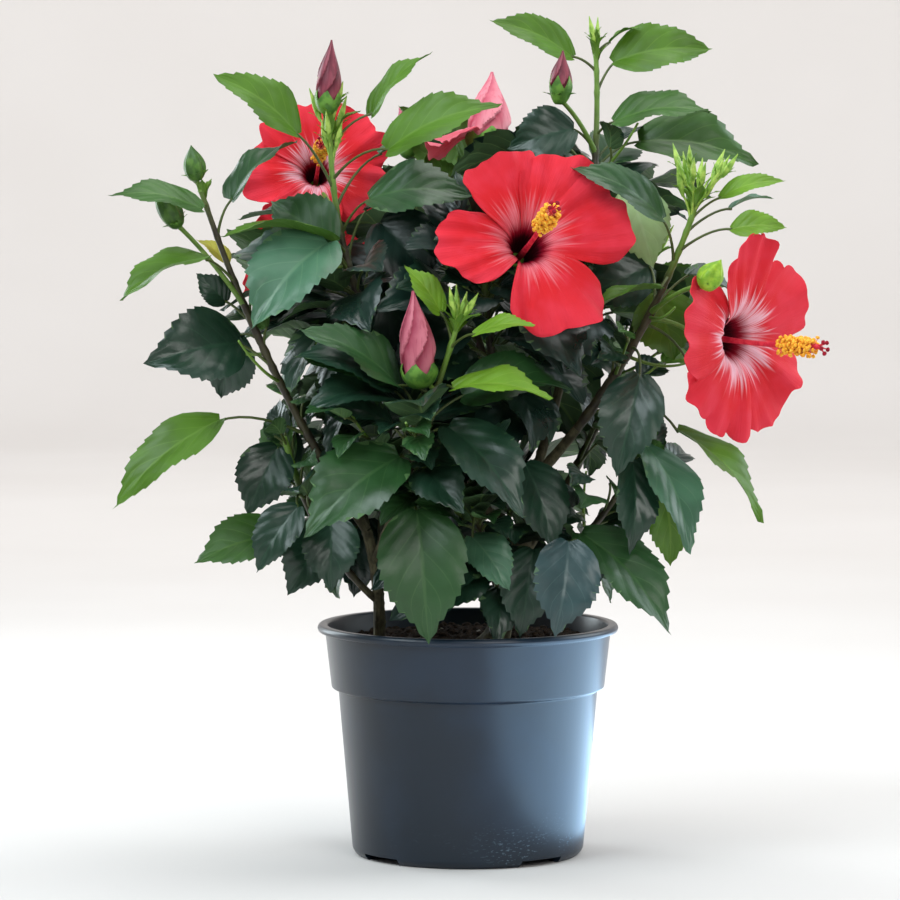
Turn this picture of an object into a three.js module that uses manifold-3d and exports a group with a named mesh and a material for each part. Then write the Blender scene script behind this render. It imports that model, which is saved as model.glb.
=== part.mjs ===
// A potted hibiscus in bloom: a flared nursery pot, its potting mix, two woody stems rooted in it, the
// boughs they fork into, and a leafy shoot on each bough with its blooms and buds.
// Millimetres, +Z up. The origin is the middle of the pot's flat underside. A viewer who looks along +Y
// has +X on the right, and the plant's best side faces that viewer, towards -Y.
import * as THREE from 'three';
import { mergeVertices } from 'three/addons/utils/BufferGeometryUtils.js';
import Module from 'manifold-3d';

const wasm = await Module();
wasm.setup();

// Sizes of the pot and its filling
const CLEAR = 0.3;
const FINEST = 0.05;
const POT = {
  height: 138, rimRadius: 90, lipDepth: 4.5, collarTop: 85.2, collarFoot: 81.4, collarZ: 100,
  bodyTop: 77.4, baseRadius: 69, footRadius: 66, cornerHeight: 3, wall: 1.5, floor: 2,
  padRadius: 44, channelInner: 47, channelOuter: 58, channelHeight: 4, sides: 30,
};
const NOTCH = { count: 4, firstAngle: -50, width: 30, height: 4 };
const DRAIN = { count: 6, radius: 4, ring: 52.5 };
const SOIL = { top: 124, crown: 2 };
const GROUND = SOIL.top + CLEAR;

// Sizes of wood, leaves and flowers
const STALK = { root: 0.95, foot: 0.8, flower: 1.5 };
const LEAF = {
  thick: 1.2, arch: 0.1, fold: 0.3, widest: 0.37,
  small: 62, rows: [0.12, 0.4, 0.74], fewRows: [0.2, 0.62],
};
const BLOOM = {
  petals: 5, tubeAngle: 13, spreadAngle: 84, length: 79, tubeRadius: 4, thick: 0.9,
  overlap: 2.6, ruffle: 2.2, throat: 30,
  column: 88, columnRadius: 1.9, brushFrom: 60, brushTo: 83, brushRadius: 4.6,
  calyxLength: 19, calyxRadius: 9.2, rows: [0.3, 0.52, 0.76, 1],
};
const GOLDEN_TURN = 137.5;
const UP = [0, 0, 1];
const VIEWER = [0, -1, 0.35];
const SKY_LEFT = [-0.6, -0.4, 0.8];
const SKY_RIGHT = [0.6, -0.5, 0.8];

// Repeatable chance: the same seed gives the same plant.
function chance(seed) {
  let state = seed;
  return (low, high) => {
    state = (1664525 * state + 1013904223) % 4294967296;
    return low + (high - low) * (state / 4294967296);
  };
}

const vec = (p) => new THREE.Vector3(p[0], p[1], p[2]);
const degrees = THREE.MathUtils.degToRad;
const between = (a, b, t) => a + (b - a) * t;
const easing = (low, high, x) => THREE.MathUtils.smoothstep(x, low, high);

// The part of a direction that is square to another one, as a unit vector.
function squareTo(direction, along) {
  const rest = direction.clone().addScaledVector(along, -direction.dot(along));
  if (rest.lengthSq() < 1e-6) rest.set(1, 0, 0).addScaledVector(along, -along.x);
  return rest.normalize();
}

// A closed geometry as a solid that can be joined and cut.
function solidOf(geometry) {
  const bare = geometry.clone();
  bare.deleteAttribute('normal');
  bare.deleteAttribute('uv');
  const merged = mergeVertices(bare, 1e-4);
  return new wasm.Manifold(new wasm.Mesh({
    numProp: 3,
    vertProperties: new Float32Array(merged.attributes.position.array),
    triVerts: new Uint32Array(merged.index.array),
  }));
}

function geometryFrom(points, faces) {
  const geometry = new THREE.BufferGeometry();
  const numbers = points.flatMap((p) => [p.x, p.y, p.z]);
  geometry.setAttribute('position', new THREE.Float32BufferAttribute(numbers, 3));
  geometry.setIndex(faces.flat());
  return geometry;
}

// The largest body of a solid, with any hollow that joining has sealed filled and loose scraps dropped.
function wholeBody(solid) {
  return solid.decompose().sort((a, b) => b.volume() - a.volume())[0];
}

const joined = (solids) => solids.reduce((sum, next) => sum.add(next));

function meshOf(name, solid, material) {
  const { vertProperties, triVerts } = wholeBody(solid).asOriginal().simplify(FINEST).getMesh();
  const geometry = new THREE.BufferGeometry();
  geometry.setAttribute('position', new THREE.BufferAttribute(new Float32Array(vertProperties), 3));
  geometry.setIndex(new THREE.BufferAttribute(new Uint32Array(triVerts), 1));
  geometry.computeVertexNormals();
  const mesh = new THREE.Mesh(geometry, material);
  mesh.name = name;
  return mesh;
}

// A closed body through a row of rings, each the same number of points turning about the way the body
// runs, with a fan from `start` over the first ring and one from `end` over the last.
function loftSolid(rings, start, end) {
  const points = [...rings.flat(), start, end];
  const sides = rings[0].length;
  const [first, last] = [points.length - 2, points.length - 1];
  const faces = [];
  for (let side = 0; side < sides; side++) {
    const next = (side + 1) % sides;
    const outer = (rings.length - 1) * sides;
    faces.push([first, next, side], [last, outer + side, outer + next]);
    for (let row = 0; row + 1 < rings.length; row++) {
      const [a, b] = [row * sides + side, row * sides + next];
      faces.push([a, b, b + sides], [a, b + sides, a + sides]);
    }
  }
  return solidOf(geometryFrom(points, faces));
}

// A ring of points about a centre, square to `along`, counted from the side nearest to `from`.
function ringOf(centre, along, from, radius, sides) {
  const across = squareTo(from, along);
  const over = along.clone().cross(across);
  return [...Array(sides).keys()].map((side) => centre.clone()
    .addScaledVector(across, radius * Math.cos((2 * Math.PI * side) / sides))
    .addScaledVector(over, radius * Math.sin((2 * Math.PI * side) / sides)));
}

// A round tapering limb along a curve.
function limbSolid(curve, radiusAt, { sides = 8, steps = 8, from = 0, to = 1 } = {}) {
  const rings = [];
  for (let step = 0; step <= steps; step++) {
    const t = between(from, to, step / steps);
    const along = curve.getTangent(Math.min(t, 1));
    rings.push(ringOf(curve.getPoint(t), along, vec([0.93, 0.2, 0.31]), radiusAt(t), sides));
  }
  return loftSolid(rings, curve.getPoint(from), curve.getPoint(to));
}

// A curve from one point to another that stands off the straight line by `bow` at its middle.
function bowed(from, to, bow) {
  const middle = from.clone().lerp(to, 0.5).addScaledVector(bow, 2);
  return new THREE.QuadraticBezierCurve3(from, middle, to);
}

// Half-width of a leaf at t along it, as a share of its widest: blunt at the foot, drawn out at the tip.
function leafOutline(t) {
  const rise = 0.55;
  const fall = (rise * (1 - LEAF.widest)) / LEAF.widest;
  const top = LEAF.widest ** rise * (1 - LEAF.widest) ** fall;
  return (t ** rise * (1 - t) ** fall) / top;
}

// A leaf: a midrib arched over its chord, and two halves that rise from it as a shallow V. With a `root` it
// is drawn out into a stalk that ends there, and `extra` fattens it all round.
function leafSolid(leaf, extra, root) {
  const along = leaf.blade.clone().normalize();
  const length = leaf.blade.length();
  const face = squareTo(leaf.face, along);
  const side = face.clone().cross(along);
  const rib = (t) => leaf.base.clone().addScaledVector(leaf.blade, t)
    .addScaledVector(face, LEAF.arch * length * Math.sin(Math.PI * t));
  const thick = LEAF.thick / 2 + extra;
  const rings = (length < LEAF.small ? LEAF.fewRows : LEAF.rows).map((t) => {
    const half = (leaf.width / 2) * leafOutline(t) + extra;
    const edge = rib(t).addScaledVector(face, half * LEAF.fold);
    return [
      edge.clone().addScaledVector(side, half),
      rib(t).addScaledVector(face, thick),
      edge.addScaledVector(side, -half),
      rib(t).addScaledVector(face, -thick),
    ];
  });
  const tip = rib(1).addScaledVector(along, extra);
  if (!root) return loftSolid(rings, rib(0).addScaledVector(along, -extra), tip);
  return loftSolid([...stalkRings(root, rib(0), side), ...rings], root, tip);
}

// Both ends of the four-sided stalk from `root` in the stem to `foot`.
function stalkRings(root, foot, side) {
  const along = foot.clone().sub(root).normalize();
  return [ringOf(root, along, side, STALK.root, 4), ringOf(foot, along, side, STALK.foot, 4)];
}

// A bare stalk, `extra` fatter all round.
function stalkSolid(root, foot, radii, extra) {
  const curve = new THREE.LineCurve3(root, foot);
  return limbSolid(curve, (t) => between(radii[0], radii[1], t) + extra, { sides: 4, steps: 1 });
}

// Profile of the flower as [distance from its axis, height along it, angle from the axis] at u from 0 to 1:
// it leaves the tube almost along the axis and bends out until it lies nearly square to it.
function petalProfile(u, size, spread) {
  const steps = 24;
  const angleAt = (at) => degrees(between(BLOOM.tubeAngle, spread, easing(0.16, 0.62, at)));
  let out = BLOOM.tubeRadius * size;
  let up = -BLOOM.throat * size;
  for (let step = 0; step < steps; step++) {
    const at = (u * (step + 0.5)) / steps;
    out += (Math.sin(angleAt(at)) * BLOOM.length * size * u) / steps;
    up += (Math.cos(angleAt(at)) * BLOOM.length * size * u) / steps;
  }
  return [out, up, angleAt(u)];
}

// A turned piece on an axis: its profile is [radius, distance along the axis] and starts and ends on it.
function turnedSolid(place, axis, profile, sides) {
  const geometry = new THREE.LatheGeometry(profile.map(([r, z]) => new THREE.Vector2(r, z)), sides);
  const turn = new THREE.Quaternion().setFromUnitVectors(vec([0, 1, 0]), axis);
  geometry.applyQuaternion(turn).translate(place.x, place.y, place.z);
  return solidOf(geometry);
}

// An open flower as one closed body, ring by ring: up the calyx and the backs of the petals to their rim,
// over it and down their faces into the throat, then up the column with its brush of anthers. Across each
// petal v runs from -1 to 1. Its outer edge is round, and it tilts, so that one side lies over the next.
function bloomSolid({ throat, axis, size = 1, spread = BLOOM.spreadAngle, phase = 0 }) {
  const across = squareTo(vec(UP), axis);
  const over = axis.clone().cross(across);
  const columns = [[-1, -1], [-0.35, 0], [0.35, 1]];
  const ring = (placeAt) => [...Array(BLOOM.petals).keys()].flatMap((petal) => (
    columns.map(([v, tilt]) => {
      const turn = degrees(phase + (360 / BLOOM.petals) * (petal + v / 2));
      const [radius, height] = placeAt(v, tilt, petal);
      return throat.clone()
        .addScaledVector(across, radius * Math.cos(turn))
        .addScaledVector(over, radius * Math.sin(turn))
        .addScaledVector(axis, height);
    })
  ));
  const round = (radius, height) => ring(() => [radius * size, height * size]);
  const petals = (u, back) => ring((v, tilt, petal) => {
    const [out, up, angle] = petalProfile(u * (1 - 0.17 * Math.abs(v) ** 2.5), size, spread);
    const wave = BLOOM.ruffle * Math.cos(5 * v + 2 * petal);
    const ruffle = size * (BLOOM.overlap * tilt * u ** 1.5 + wave * u ** 3);
    return [out + back * Math.cos(angle), up + ruffle - back * Math.sin(angle)];
  });
  const foot = -BLOOM.throat;
  const calyx = [
    round(3, foot - 3), round(BLOOM.calyxRadius, foot + BLOOM.calyxLength / 2),
    round(BLOOM.calyxRadius, foot + BLOOM.calyxLength),
  ];
  const column = [
    round(BLOOM.columnRadius, foot + BLOOM.calyxLength),
    round(BLOOM.columnRadius, foot + BLOOM.brushFrom),
    round(BLOOM.brushRadius, foot + BLOOM.brushFrom + 6),
    round(BLOOM.brushRadius, foot + BLOOM.brushTo),
  ];
  const backs = BLOOM.rows.map((u) => petals(u, BLOOM.thick));
  const fronts = BLOOM.rows.map((u) => petals(u, 0)).reverse();
  const start = throat.clone().addScaledVector(axis, (foot - 4) * size);
  const end = throat.clone().addScaledVector(axis, (foot + BLOOM.column) * size);
  return loftSolid([...calyx, ...backs, ...fronts, ...column], start, end);
}

// A closed bud: a spindle of furled petals in a green calyx.
function budSolid({ foot, tip, width }) {
  const axis = tip.clone().sub(foot);
  const long = axis.length();
  const half = width / 2;
  return turnedSolid(foot, axis.normalize(), [
    [0, -1], [half * 0.6, 0], [half, long * 0.25], [half * 0.9, long * 0.6],
    [half * 0.35, long * 0.92], [0, long],
  ], 6);
}

// The two stems that are rooted in the mix. `flare` is how far each spreads at its foot.
const ROOTED = {
  trunk: { from: [16, 4, GROUND], to: [37, -4, 222], bow: [3, 0, 0], thick: [7.5, 4.8], flare: 4 },
  left_stem: { from: [-53, -20, GROUND], to: [-60, -24, 196], bow: [3, 2, 0], thick: [3.6, 3], flare: 2 },
};

// Each cane starts on a rooted stem at `up` of its length. Its lower share, `bare`, is a bough, and the
// rest is the stem of a leafy shoot. `leaves` more leaves grow on it by rule, up to `crown` of its length,
// the largest `blade` long.
const CANES = {
  front: {
    on: 'left_stem', up: 0.72, to: [-6, -92, 322], bow: [1, -13, 0],
    thick: 2.7, bare: 0.2, leaves: 14, blade: 68, crown: 0.6,
  },
  right: {
    on: 'trunk', up: 1, to: [134, -48, 392], bow: [9, -4, -6],
    thick: 3.4, bare: 0.22, leaves: 12, blade: 66, crown: 0.66,
  },
  left: {
    on: 'left_stem', up: 1, to: [-157, -60, 402], bow: [-6, -2, -6],
    thick: 3, bare: 0.16, leaves: 8, blade: 62, crown: 0.66,
  },
  top_left: {
    on: 'trunk', up: 0.62, to: [-81, -30, 442], bow: [-30, -6, -6],
    thick: 3.1, bare: 0.32, leaves: 14, blade: 70, crown: 0.7,
  },
  middle: {
    on: 'trunk', up: 0.84, to: [8, -38, 372], bow: [-6, 4, 0],
    thick: 3, bare: 0.3, leaves: 26, blade: 76,
  },
  top_right: {
    on: 'trunk', up: 0.94, to: [77, 60, 484], bow: [14, 14, 4],
    thick: 3.1, bare: 0.24, leaves: 14, blade: 70, crown: 0.72,
  },
  back: {
    on: 'trunk', up: 0.74, to: [-14, 112, 418], bow: [-4, 14, 0],
    thick: 3, bare: 0.24, leaves: 26, blade: 76,
  },
  back_left: {
    on: 'left_stem', up: 0.9, to: [-92, 92, 350], bow: [-4, 12, 0],
    thick: 2.8, bare: 0.22, leaves: 24, blade: 74,
  },
  back_right: {
    on: 'trunk', up: 0.5, to: [112, 88, 352], bow: [10, 10, -4],
    thick: 2.9, bare: 0.26, leaves: 26, blade: 76,
  },
  inner: {
    on: 'left_stem', up: 0.56, to: [-46, 26, 318], bow: [2, 8, 0],
    thick: 2.5, bare: 0.14, leaves: 28, blade: 76,
  },
  low_left: {
    on: 'left_stem', up: 0.4, to: [-108, -36, 252], bow: [-6, 0, -8],
    thick: 2.2, bare: 0.14, leaves: 18, blade: 62,
  },
  low_front: {
    on: 'trunk', up: 0.2, to: [0, -74, 226], bow: [0, -6, 0],
    thick: 2.2, bare: 0.18, leaves: 22, blade: 66,
  },
  low_right: {
    on: 'trunk', up: 0.36, to: [104, -34, 246], bow: [6, -4, -8],
    thick: 2.3, bare: 0.2, leaves: 20, blade: 66,
  },
  low_back: {
    on: 'trunk', up: 0.28, to: [18, 84, 244], bow: [0, 8, -6],
    thick: 2.3, bare: 0.2, leaves: 22, blade: 72,
  },
};

// Leaves that the photograph shows, set by hand: the cane and how far up it the stalk leaves, the foot of
// the blade, the blade from foot to tip, its width, and the way its upper face looks.
const shown = (cane, up, base, blade, width, face) => ({ cane, up, base, blade, width, face });
const SHOWN_LEAVES = [
  shown('left', 0.94, [-154, -60, 387], [-53, -4, 8], 26, UP),
  shown('left', 0.86, [-138, -58, 392], [38, 24, 34], 30, SKY_LEFT),
  shown('left', 0.74, [-151, -58, 357], [-50, -18, -25], 32, SKY_LEFT),
  shown('left', 0.5, [-134, -52, 316], [-52, -32, -8], 46, VIEWER),
  shown('left', 0.58, [-136, -30, 312], [-10, 12, -38], 34, VIEWER),
  shown('left', 0.66, [-142, -40, 354], [-18, 12, 14], 18, SKY_RIGHT),
  shown('left', 0.62, [-142, -44, 332], [-17, -6, 17], 18, VIEWER),
  shown('left', 0.3, [-145, -60, 264], [-61, -22, -50], 34, SKY_LEFT),
  shown('top_left', 0.84, [-100, -46, 430], [-48, -8, 35], 32, [0.5, -0.7, 0.5]),
  shown('top_left', 0.86, [-47, -55, 421], [66, -15, 27], 34, [-0.3, -0.8, 0.7]),
  shown('top_left', 0.93, [-57, -25, 441], [36, 2, 37], 20, [-0.7, -0.5, 0.5]),
  shown('top_left', 0.8, [-52, -10, 418], [38, 8, 6], 24, UP),
  shown('top_left', 0.66, [-80, -12, 372], [-36, 20, 28], 40, VIEWER),
  shown('top_left', 0.6, [-90, 4, 374], [-48, 10, 4], 30, UP),
  shown('top_left', 0.7, [-78, -46, 367], [-66, -24, 4], 32, UP),
  shown('top_left', 0.64, [-76, -52, 358], [-52, -34, -50], 52, [-0.35, -0.9, 0.45]),
  shown('top_left', 0.74, [-58, -42, 392], [60, -12, 2], 44, [0.1, -0.7, 0.8]),
  shown('front', 0.7, [-40, -90, 285], [-57, -10, 34], 36, [0.2, -0.6, 0.9]),
  shown('front', 0.74, [-9, -97, 284], [57, -20, -4], 28, [0, -0.5, 1]),
  shown('front', 0.9, [3, -96, 316], [35, -10, 6], 20, [0, -0.5, 1]),
  shown('front', 0.92, [-16, -90, 328], [-21, -2, 27], 18, [0.5, -0.8, 0.3]),
  shown('front', 0.52, [-12, -92, 262], [43, -32, -50], 42, [0.45, -0.85, 0.4]),
  shown('front', 0.44, [-40, -86, 244], [-54, -30, -44], 50, [-0.3, -0.9, 0.5]),
  shown('front', 0.3, [-30, -84, 213], [7, -14, -76], 52, [0.05, -1, 0.15]),
  shown('low_front', 0.8, [2, -66, 196], [22, -16, -30], 28, [0.3, -0.9, 0.3]),
  shown('low_front', 0.94, [33, -58, 238], [17, -18, -50], 34, [0.3, -0.9, 0.3]),
  shown('right', 0.52, [100, -62, 290], [-14, -14, -58], 38, VIEWER),
  shown('right', 0.36, [122, -52, 257], [50, -12, -53], 32, [0.7, -0.4, 0.6]),
  shown('right', 0.42, [104, -48, 248], [25, -28, -61], 38, [0.6, -0.7, 0.3]),
  shown('low_right', 0.92, [96, -58, 240], [-2, -16, -54], 28, [0.4, -0.9, 0.2]),
  shown('low_right', 0.84, [114, -16, 226], [6, 0, -52], 34, [0.3, -0.9, 0.2]),
  shown('right', 0.6, [130, -36, 294], [22, 6, -12], 20, [0.4, -0.7, 0.6]),
  shown('right', 0.72, [112, -14, 336], [10, 4, -40], 40, VIEWER),
  shown('right', 0.76, [113, -48, 340], [-44, -14, -16], 26, UP),
  shown('right', 0.66, [108, -18, 352], [-40, 0, -20], 38, VIEWER),
  shown('right', 0.8, [113, -52, 381], [-54, -10, 30], 32, [0.5, -0.6, 0.7]),
  shown('right', 0.94, [147, -50, 393], [38, -2, 10], 16, [0.1, -0.6, 0.8]),
  shown('right', 0.84, [153, -60, 375], [32, -4, 1], 18, [0.1, -0.8, 0.6]),
  shown('right', 0.9, [154, -32, 386], [26, 4, 6], 14, UP),
  shown('low_left', 0.86, [-112, -32, 246], [-18, -8, -40], 34, VIEWER),
  shown('low_left', 0.5, [-108, -42, 194], [-52, -14, -14], 32, [-0.3, -0.5, 0.9]),
  shown('low_left', 0.7, [-99, -46, 214], [-24, -6, -38], 28, [-0.4, -0.9, 0.2]),
  shown('low_left', 0.34, [-84, -40, 196], [-22, -10, -36], 32, VIEWER),
  shown('low_left', 0.4, [-80, -56, 206], [0, -12, -42], 34, VIEWER),
  shown('low_right', 0.4, [66, -62, 197], [51, -35, -56], 42, [0.3, -0.7, 0.7]),
  shown('low_right', 0.24, [38, -62, 188], [-8, -12, -50], 34, VIEWER),
  shown('low_right', 0.32, [58, -74, 195], [-8, -14, -54], 40, [0.2, -1, 0.2]),
  shown('top_right', 0.93, [63, 50, 472], [-50, -8, 22], 26, [-0.2, -0.7, 0.7]),
  shown('top_right', 0.86, [95, 62, 464], [55, 5, 14], 34, [0.1, -0.8, 0.6]),
  shown('top_right', 0.97, [86, 60, 484], [18, 0, 9], 12, UP),
  shown('top_right', 0.78, [90, 44, 428], [56, -8, 8], 40, [0, -0.5, 0.9]),
  shown('top_right', 0.7, [102, 74, 418], [70, -6, -6], 40, [0.1, -0.6, 0.8]),
  shown('top_right', 0.74, [64, 48, 432], [-40, -5, -12], 34, VIEWER),
];

// Open flowers: the cane, how far up it the stalk leaves, the middle of the throat, and where it faces.
const BLOOMS = [
  {
    cane: 'middle', up: 0.97, throat: [33, -78, 368],
    faces: [0.24, -0.89, 0.39], phase: -20,
  },
  {
    cane: 'right', up: 0.62, throat: [158, -56, 311],
    faces: [0.8, -0.6, -0.05], phase: 10, size: 1.02,
  },
  {
    cane: 'top_left', up: 0.76, throat: [-88, 18, 400],
    faces: [-0.1, -0.95, 0.25], phase: 30, size: 0.88,
  },
  {
    cane: 'back', up: 0.9, throat: [4, 88, 428],
    faces: [-0.3, 0.5, 0.8], phase: 0, size: 0.66, spread: 58,
  },
  {
    cane: 'back_left', up: 0.95, throat: [-112, 134, 352],
    faces: [-0.45, 0.85, 0.25], phase: 15, size: 0.95,
  },
];

// Closed buds: the cane, how far up it the stalk leaves, the foot and the tip of the bud, and its width.
const BUDS = [
  { cane: 'top_left', up: 0.97, foot: [-83, -34, 443], tip: [-80, -34, 485], width: 14 },
  { cane: 'front', up: 0.72, foot: [-28, -98, 286], tip: [-32, -101, 341], width: 20 },
  { cane: 'top_right', up: 0.74, foot: [55, 40, 448], tip: [57, 38, 479], width: 13 },
  { cane: 'left', up: 0.98, foot: [-158, -62, 403], tip: [-161, -64, 424], width: 12 },
  { cane: 'left', up: 0.68, foot: [-168, -66, 376], tip: [-182, -70, 402], width: 13 },
  { cane: 'right', up: 0.64, foot: [138, -72, 342], tip: [147, -76, 359], width: 14 },
  { cane: 'back', up: 0.98, foot: [-34, 124, 414], tip: [-42, 132, 444], width: 13 },
  { cane: 'back_right', up: 0.98, foot: [116, 96, 360], tip: [120, 104, 388], width: 12 },
  { cane: 'back_left', up: 0.98, foot: [-90, 88, 358], tip: [-88, 86, 386], width: 12 },
];

// The pot: one turned wall with a rolled lip, a stepped collar and a foot ring round a drainage channel,
// then notches through the foot ring and drain holes through the channel's roof.
function potSolid() {
  const { wall, floor, height: top } = POT;
  const channelRoof = POT.channelHeight;
  const profile = [
    [0, 0], [POT.padRadius, 0], [POT.channelInner, channelRoof], [POT.channelOuter, channelRoof],
    [POT.channelOuter + 2, 0], [POT.footRadius, 0], [POT.baseRadius, POT.cornerHeight],
    [POT.bodyTop, POT.collarZ - 1], [POT.collarFoot, POT.collarZ], [POT.collarTop, top - POT.lipDepth],
    [POT.rimRadius - 1, top - POT.lipDepth], [POT.rimRadius, top - POT.lipDepth / 2],
    [POT.rimRadius - 1.2, top], [POT.collarTop - wall, top],
    [POT.collarFoot - wall, POT.collarZ + wall], [POT.bodyTop - wall, POT.collarZ - wall],
    [POT.baseRadius - wall, channelRoof + floor], [POT.channelInner - 1, channelRoof + floor],
    [POT.padRadius - 1, floor], [0, floor],
  ];
  let pot = turnedSolid(vec([0, 0, 0]), vec(UP), profile, POT.sides);
  if (pot.volume() < 0) pot = turnedSolid(vec([0, 0, 0]), vec(UP), profile.reverse(), POT.sides);
  for (let k = 0; k < NOTCH.count; k++) {
    const box = new THREE.BoxGeometry(NOTCH.width, 16, 2 * NOTCH.height);
    box.translate(0, -POT.footRadius, 0);
    box.rotateZ(degrees(NOTCH.firstAngle + (360 * k) / NOTCH.count));
    pot = pot.subtract(solidOf(box));
  }
  for (let k = 0; k < DRAIN.count; k++) {
    const hole = new THREE.CylinderGeometry(DRAIN.radius, DRAIN.radius, 20, 8).rotateX(Math.PI / 2);
    const angle = (2 * Math.PI * (k + 0.5)) / DRAIN.count;
    hole.translate(DRAIN.ring * Math.cos(angle), DRAIN.ring * Math.sin(angle), 0);
    pot = pot.subtract(solidOf(hole));
  }
  return pot;
}

// The potting mix: it fills the pot from the floor, round the drainage channel, to a flat top.
function soilSolid() {
  const inset = POT.wall + CLEAR;
  const pad = POT.floor + CLEAR;
  const roof = POT.channelHeight + POT.floor + CLEAR;
  const profile = [
    [0, pad], [POT.padRadius - 1.6, pad],
    [POT.channelInner - 1.6, roof], [POT.baseRadius - inset - 0.1, roof],
    [POT.bodyTop - inset - 0.1, POT.collarZ + POT.wall],
    [POT.collarFoot - inset + 0.2, POT.collarZ + 3 * POT.wall],
    [POT.collarFoot - inset + 1.5, SOIL.top - SOIL.crown],
    [POT.collarFoot - inset - 5, SOIL.top], [0, SOIL.top],
  ];
  return turnedSolid(vec([0, 0, 0]), vec(UP), profile, POT.sides);
}

// Everything that later pieces must stay clear of, with the box that holds each.
const standing = [];
function stand(owner, kind, solid) {
  const { min, max } = solid.boundingBox();
  standing.push({ owner, kind, solid, min, max });
}

function touches(solid, ignores) {
  const { min, max } = solid.boundingBox();
  return standing.some((other) => !ignores(other)
    && [0, 1, 2].every((k) => min[k] < other.max[k] && max[k] > other.min[k])
    && solid.intersect(other.solid).volume() > 1e-6);
}

const pot = potSolid();
const soil = soilSolid();
stand('pot', 'wall', pot);
stand('soil', 'wall', soil);

// Rooted stems: a taper from foot to fork, with the foot flared over the lowest part.
const rooted = {};
for (const [name, stem] of Object.entries(ROOTED)) {
  const curve = bowed(vec(stem.from), vec(stem.to), vec(stem.bow));
  const flareAt = (t) => stem.flare * Math.max(0, 1 - t / 0.12) ** 2;
  const radiusAt = (t) => between(stem.thick[0], stem.thick[1], t) + flareAt(t);
  const flatCut = new THREE.BoxGeometry(80, 80, 40).translate(stem.from[0], stem.from[1], GROUND - 20);
  const grow = (extra) => {
    const to = 1 + extra / curve.getLength();
    const limb = limbSolid(curve, (t) => radiusAt(t) + extra, { sides: 9, steps: 6, to });
    return limb.subtract(solidOf(flatCut));
  };
  rooted[name] = { curve, radiusAt, solid: grow(0), guard: grow(CLEAR) };
  stand(name, 'limb', rooted[name].guard);
}

// Boughs and the stems of their shoots. A bough is cut clear of the stem it leaves and of its neighbours.
const canes = {};
const takenByBoughs = Object.values(rooted).map((stem) => stem.guard);
for (const [name, cane] of Object.entries(CANES)) {
  const host = rooted[cane.on];
  const fork = cane.up === 1 ? CLEAR + 0.2 : 0;
  const from = host.curve.getPoint(cane.up).addScaledVector(host.curve.getTangent(1), fork);
  const curve = bowed(from, vec(cane.to), vec(cane.bow));
  const radiusAt = (t) => between(cane.thick, 1.5, t ** 0.8);
  const gap = CLEAR / curve.getLength();
  let bough = limbSolid(curve, radiusAt, { sides: 6, steps: 3, to: cane.bare });
  for (const other of takenByBoughs) bough = bough.subtract(other);
  bough = wholeBody(bough);
  const guard = limbSolid(curve, (t) => radiusAt(t) + CLEAR, { sides: 6, steps: 3, to: cane.bare });
  takenByBoughs.push(guard);
  const stem = limbSolid(curve, radiusAt, { sides: 5, steps: 5, from: cane.bare + gap, to: 1 });
  canes[name] = { curve, radiusAt, bough, pieces: [stem] };
  stand(name, 'limb', guard);
  stand(name, 'stem', stem);
}

// Sets a leaf or flower on its cane unless it would touch something. Stalks of one cane may meet each
// other.
function settle(cane, bodies, carried, stalk) {
  if (touches(carried, () => false)) return false;
  if (touches(stalk, (other) => other.owner === cane && other.kind !== 'blade')) return false;
  canes[cane].pieces.push(...bodies);
  stand(cane, 'blade', carried);
  stand(cane, 'stalk', stalk);
  return true;
}

function settleLeaf(cane, leaf) {
  const root = canes[cane].curve.getPoint(leaf.up);
  const stalk = stalkSolid(root, leaf.base, [STALK.root, STALK.foot], CLEAR);
  return settle(cane, [leafSolid(leaf, 0, root)], leafSolid(leaf, CLEAR), stalk);
}

function settleFlower(cane, up, flower, foot) {
  const root = canes[cane].curve.getPoint(up);
  const radii = [STALK.flower, STALK.flower];
  const stalk = stalkSolid(root, foot, radii, 0);
  return settle(cane, [flower, stalk], flower, stalkSolid(root, foot, radii, CLEAR));
}

const missed = [];

for (const { cane, up, throat, faces, size = 1, spread, phase } of BLOOMS) {
  const axis = vec(faces).normalize();
  const bloom = bloomSolid({ throat: vec(throat), axis, size, spread, phase });
  const foot = vec(throat).addScaledVector(axis, -(BLOOM.throat + 2) * size);
  if (!settleFlower(cane, up, bloom, foot)) missed.push(`bloom on ${cane} at ${throat}`);
}

for (const { cane, up, foot, tip, width } of BUDS) {
  const bud = budSolid({ foot: vec(foot), tip: vec(tip), width });
  const seat = vec(foot).lerp(vec(tip), 0.06);
  if (!settleFlower(cane, up, bud, seat)) missed.push(`bud on ${cane} at ${foot}`);
}

// A leaf of the photograph may move a little towards or away from the viewer to clear its neighbours.
for (const leaf of SHOWN_LEAVES) {
  const moved = [0, -6, 6, -12, 12, -18, 18, -26, 26].some((depth) => settleLeaf(leaf.cane, {
    up: leaf.up,
    base: vec(leaf.base).add(vec([0, depth, 0])),
    blade: vec(leaf.blade),
    width: leaf.width,
    face: vec(leaf.face),
  }));
  if (!moved) missed.push(`leaf on ${leaf.cane} at ${leaf.base}`);
}
if (missed.length) throw new Error(`no room for ${missed.join(', ')}`);

// How far from the pot's axis the crown reaches at a height: narrow over the pot, widest at its shoulder.
const CROWN = { foot: 84, shoulder: 166, top: 0.62, centre: vec([5, 0, 250]) };
function crownReach(z) {
  const wide = between(CROWN.foot, CROWN.shoulder, easing(110, 330, z));
  return wide * between(1, CROWN.top, easing(400, 500, z));
}

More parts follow.
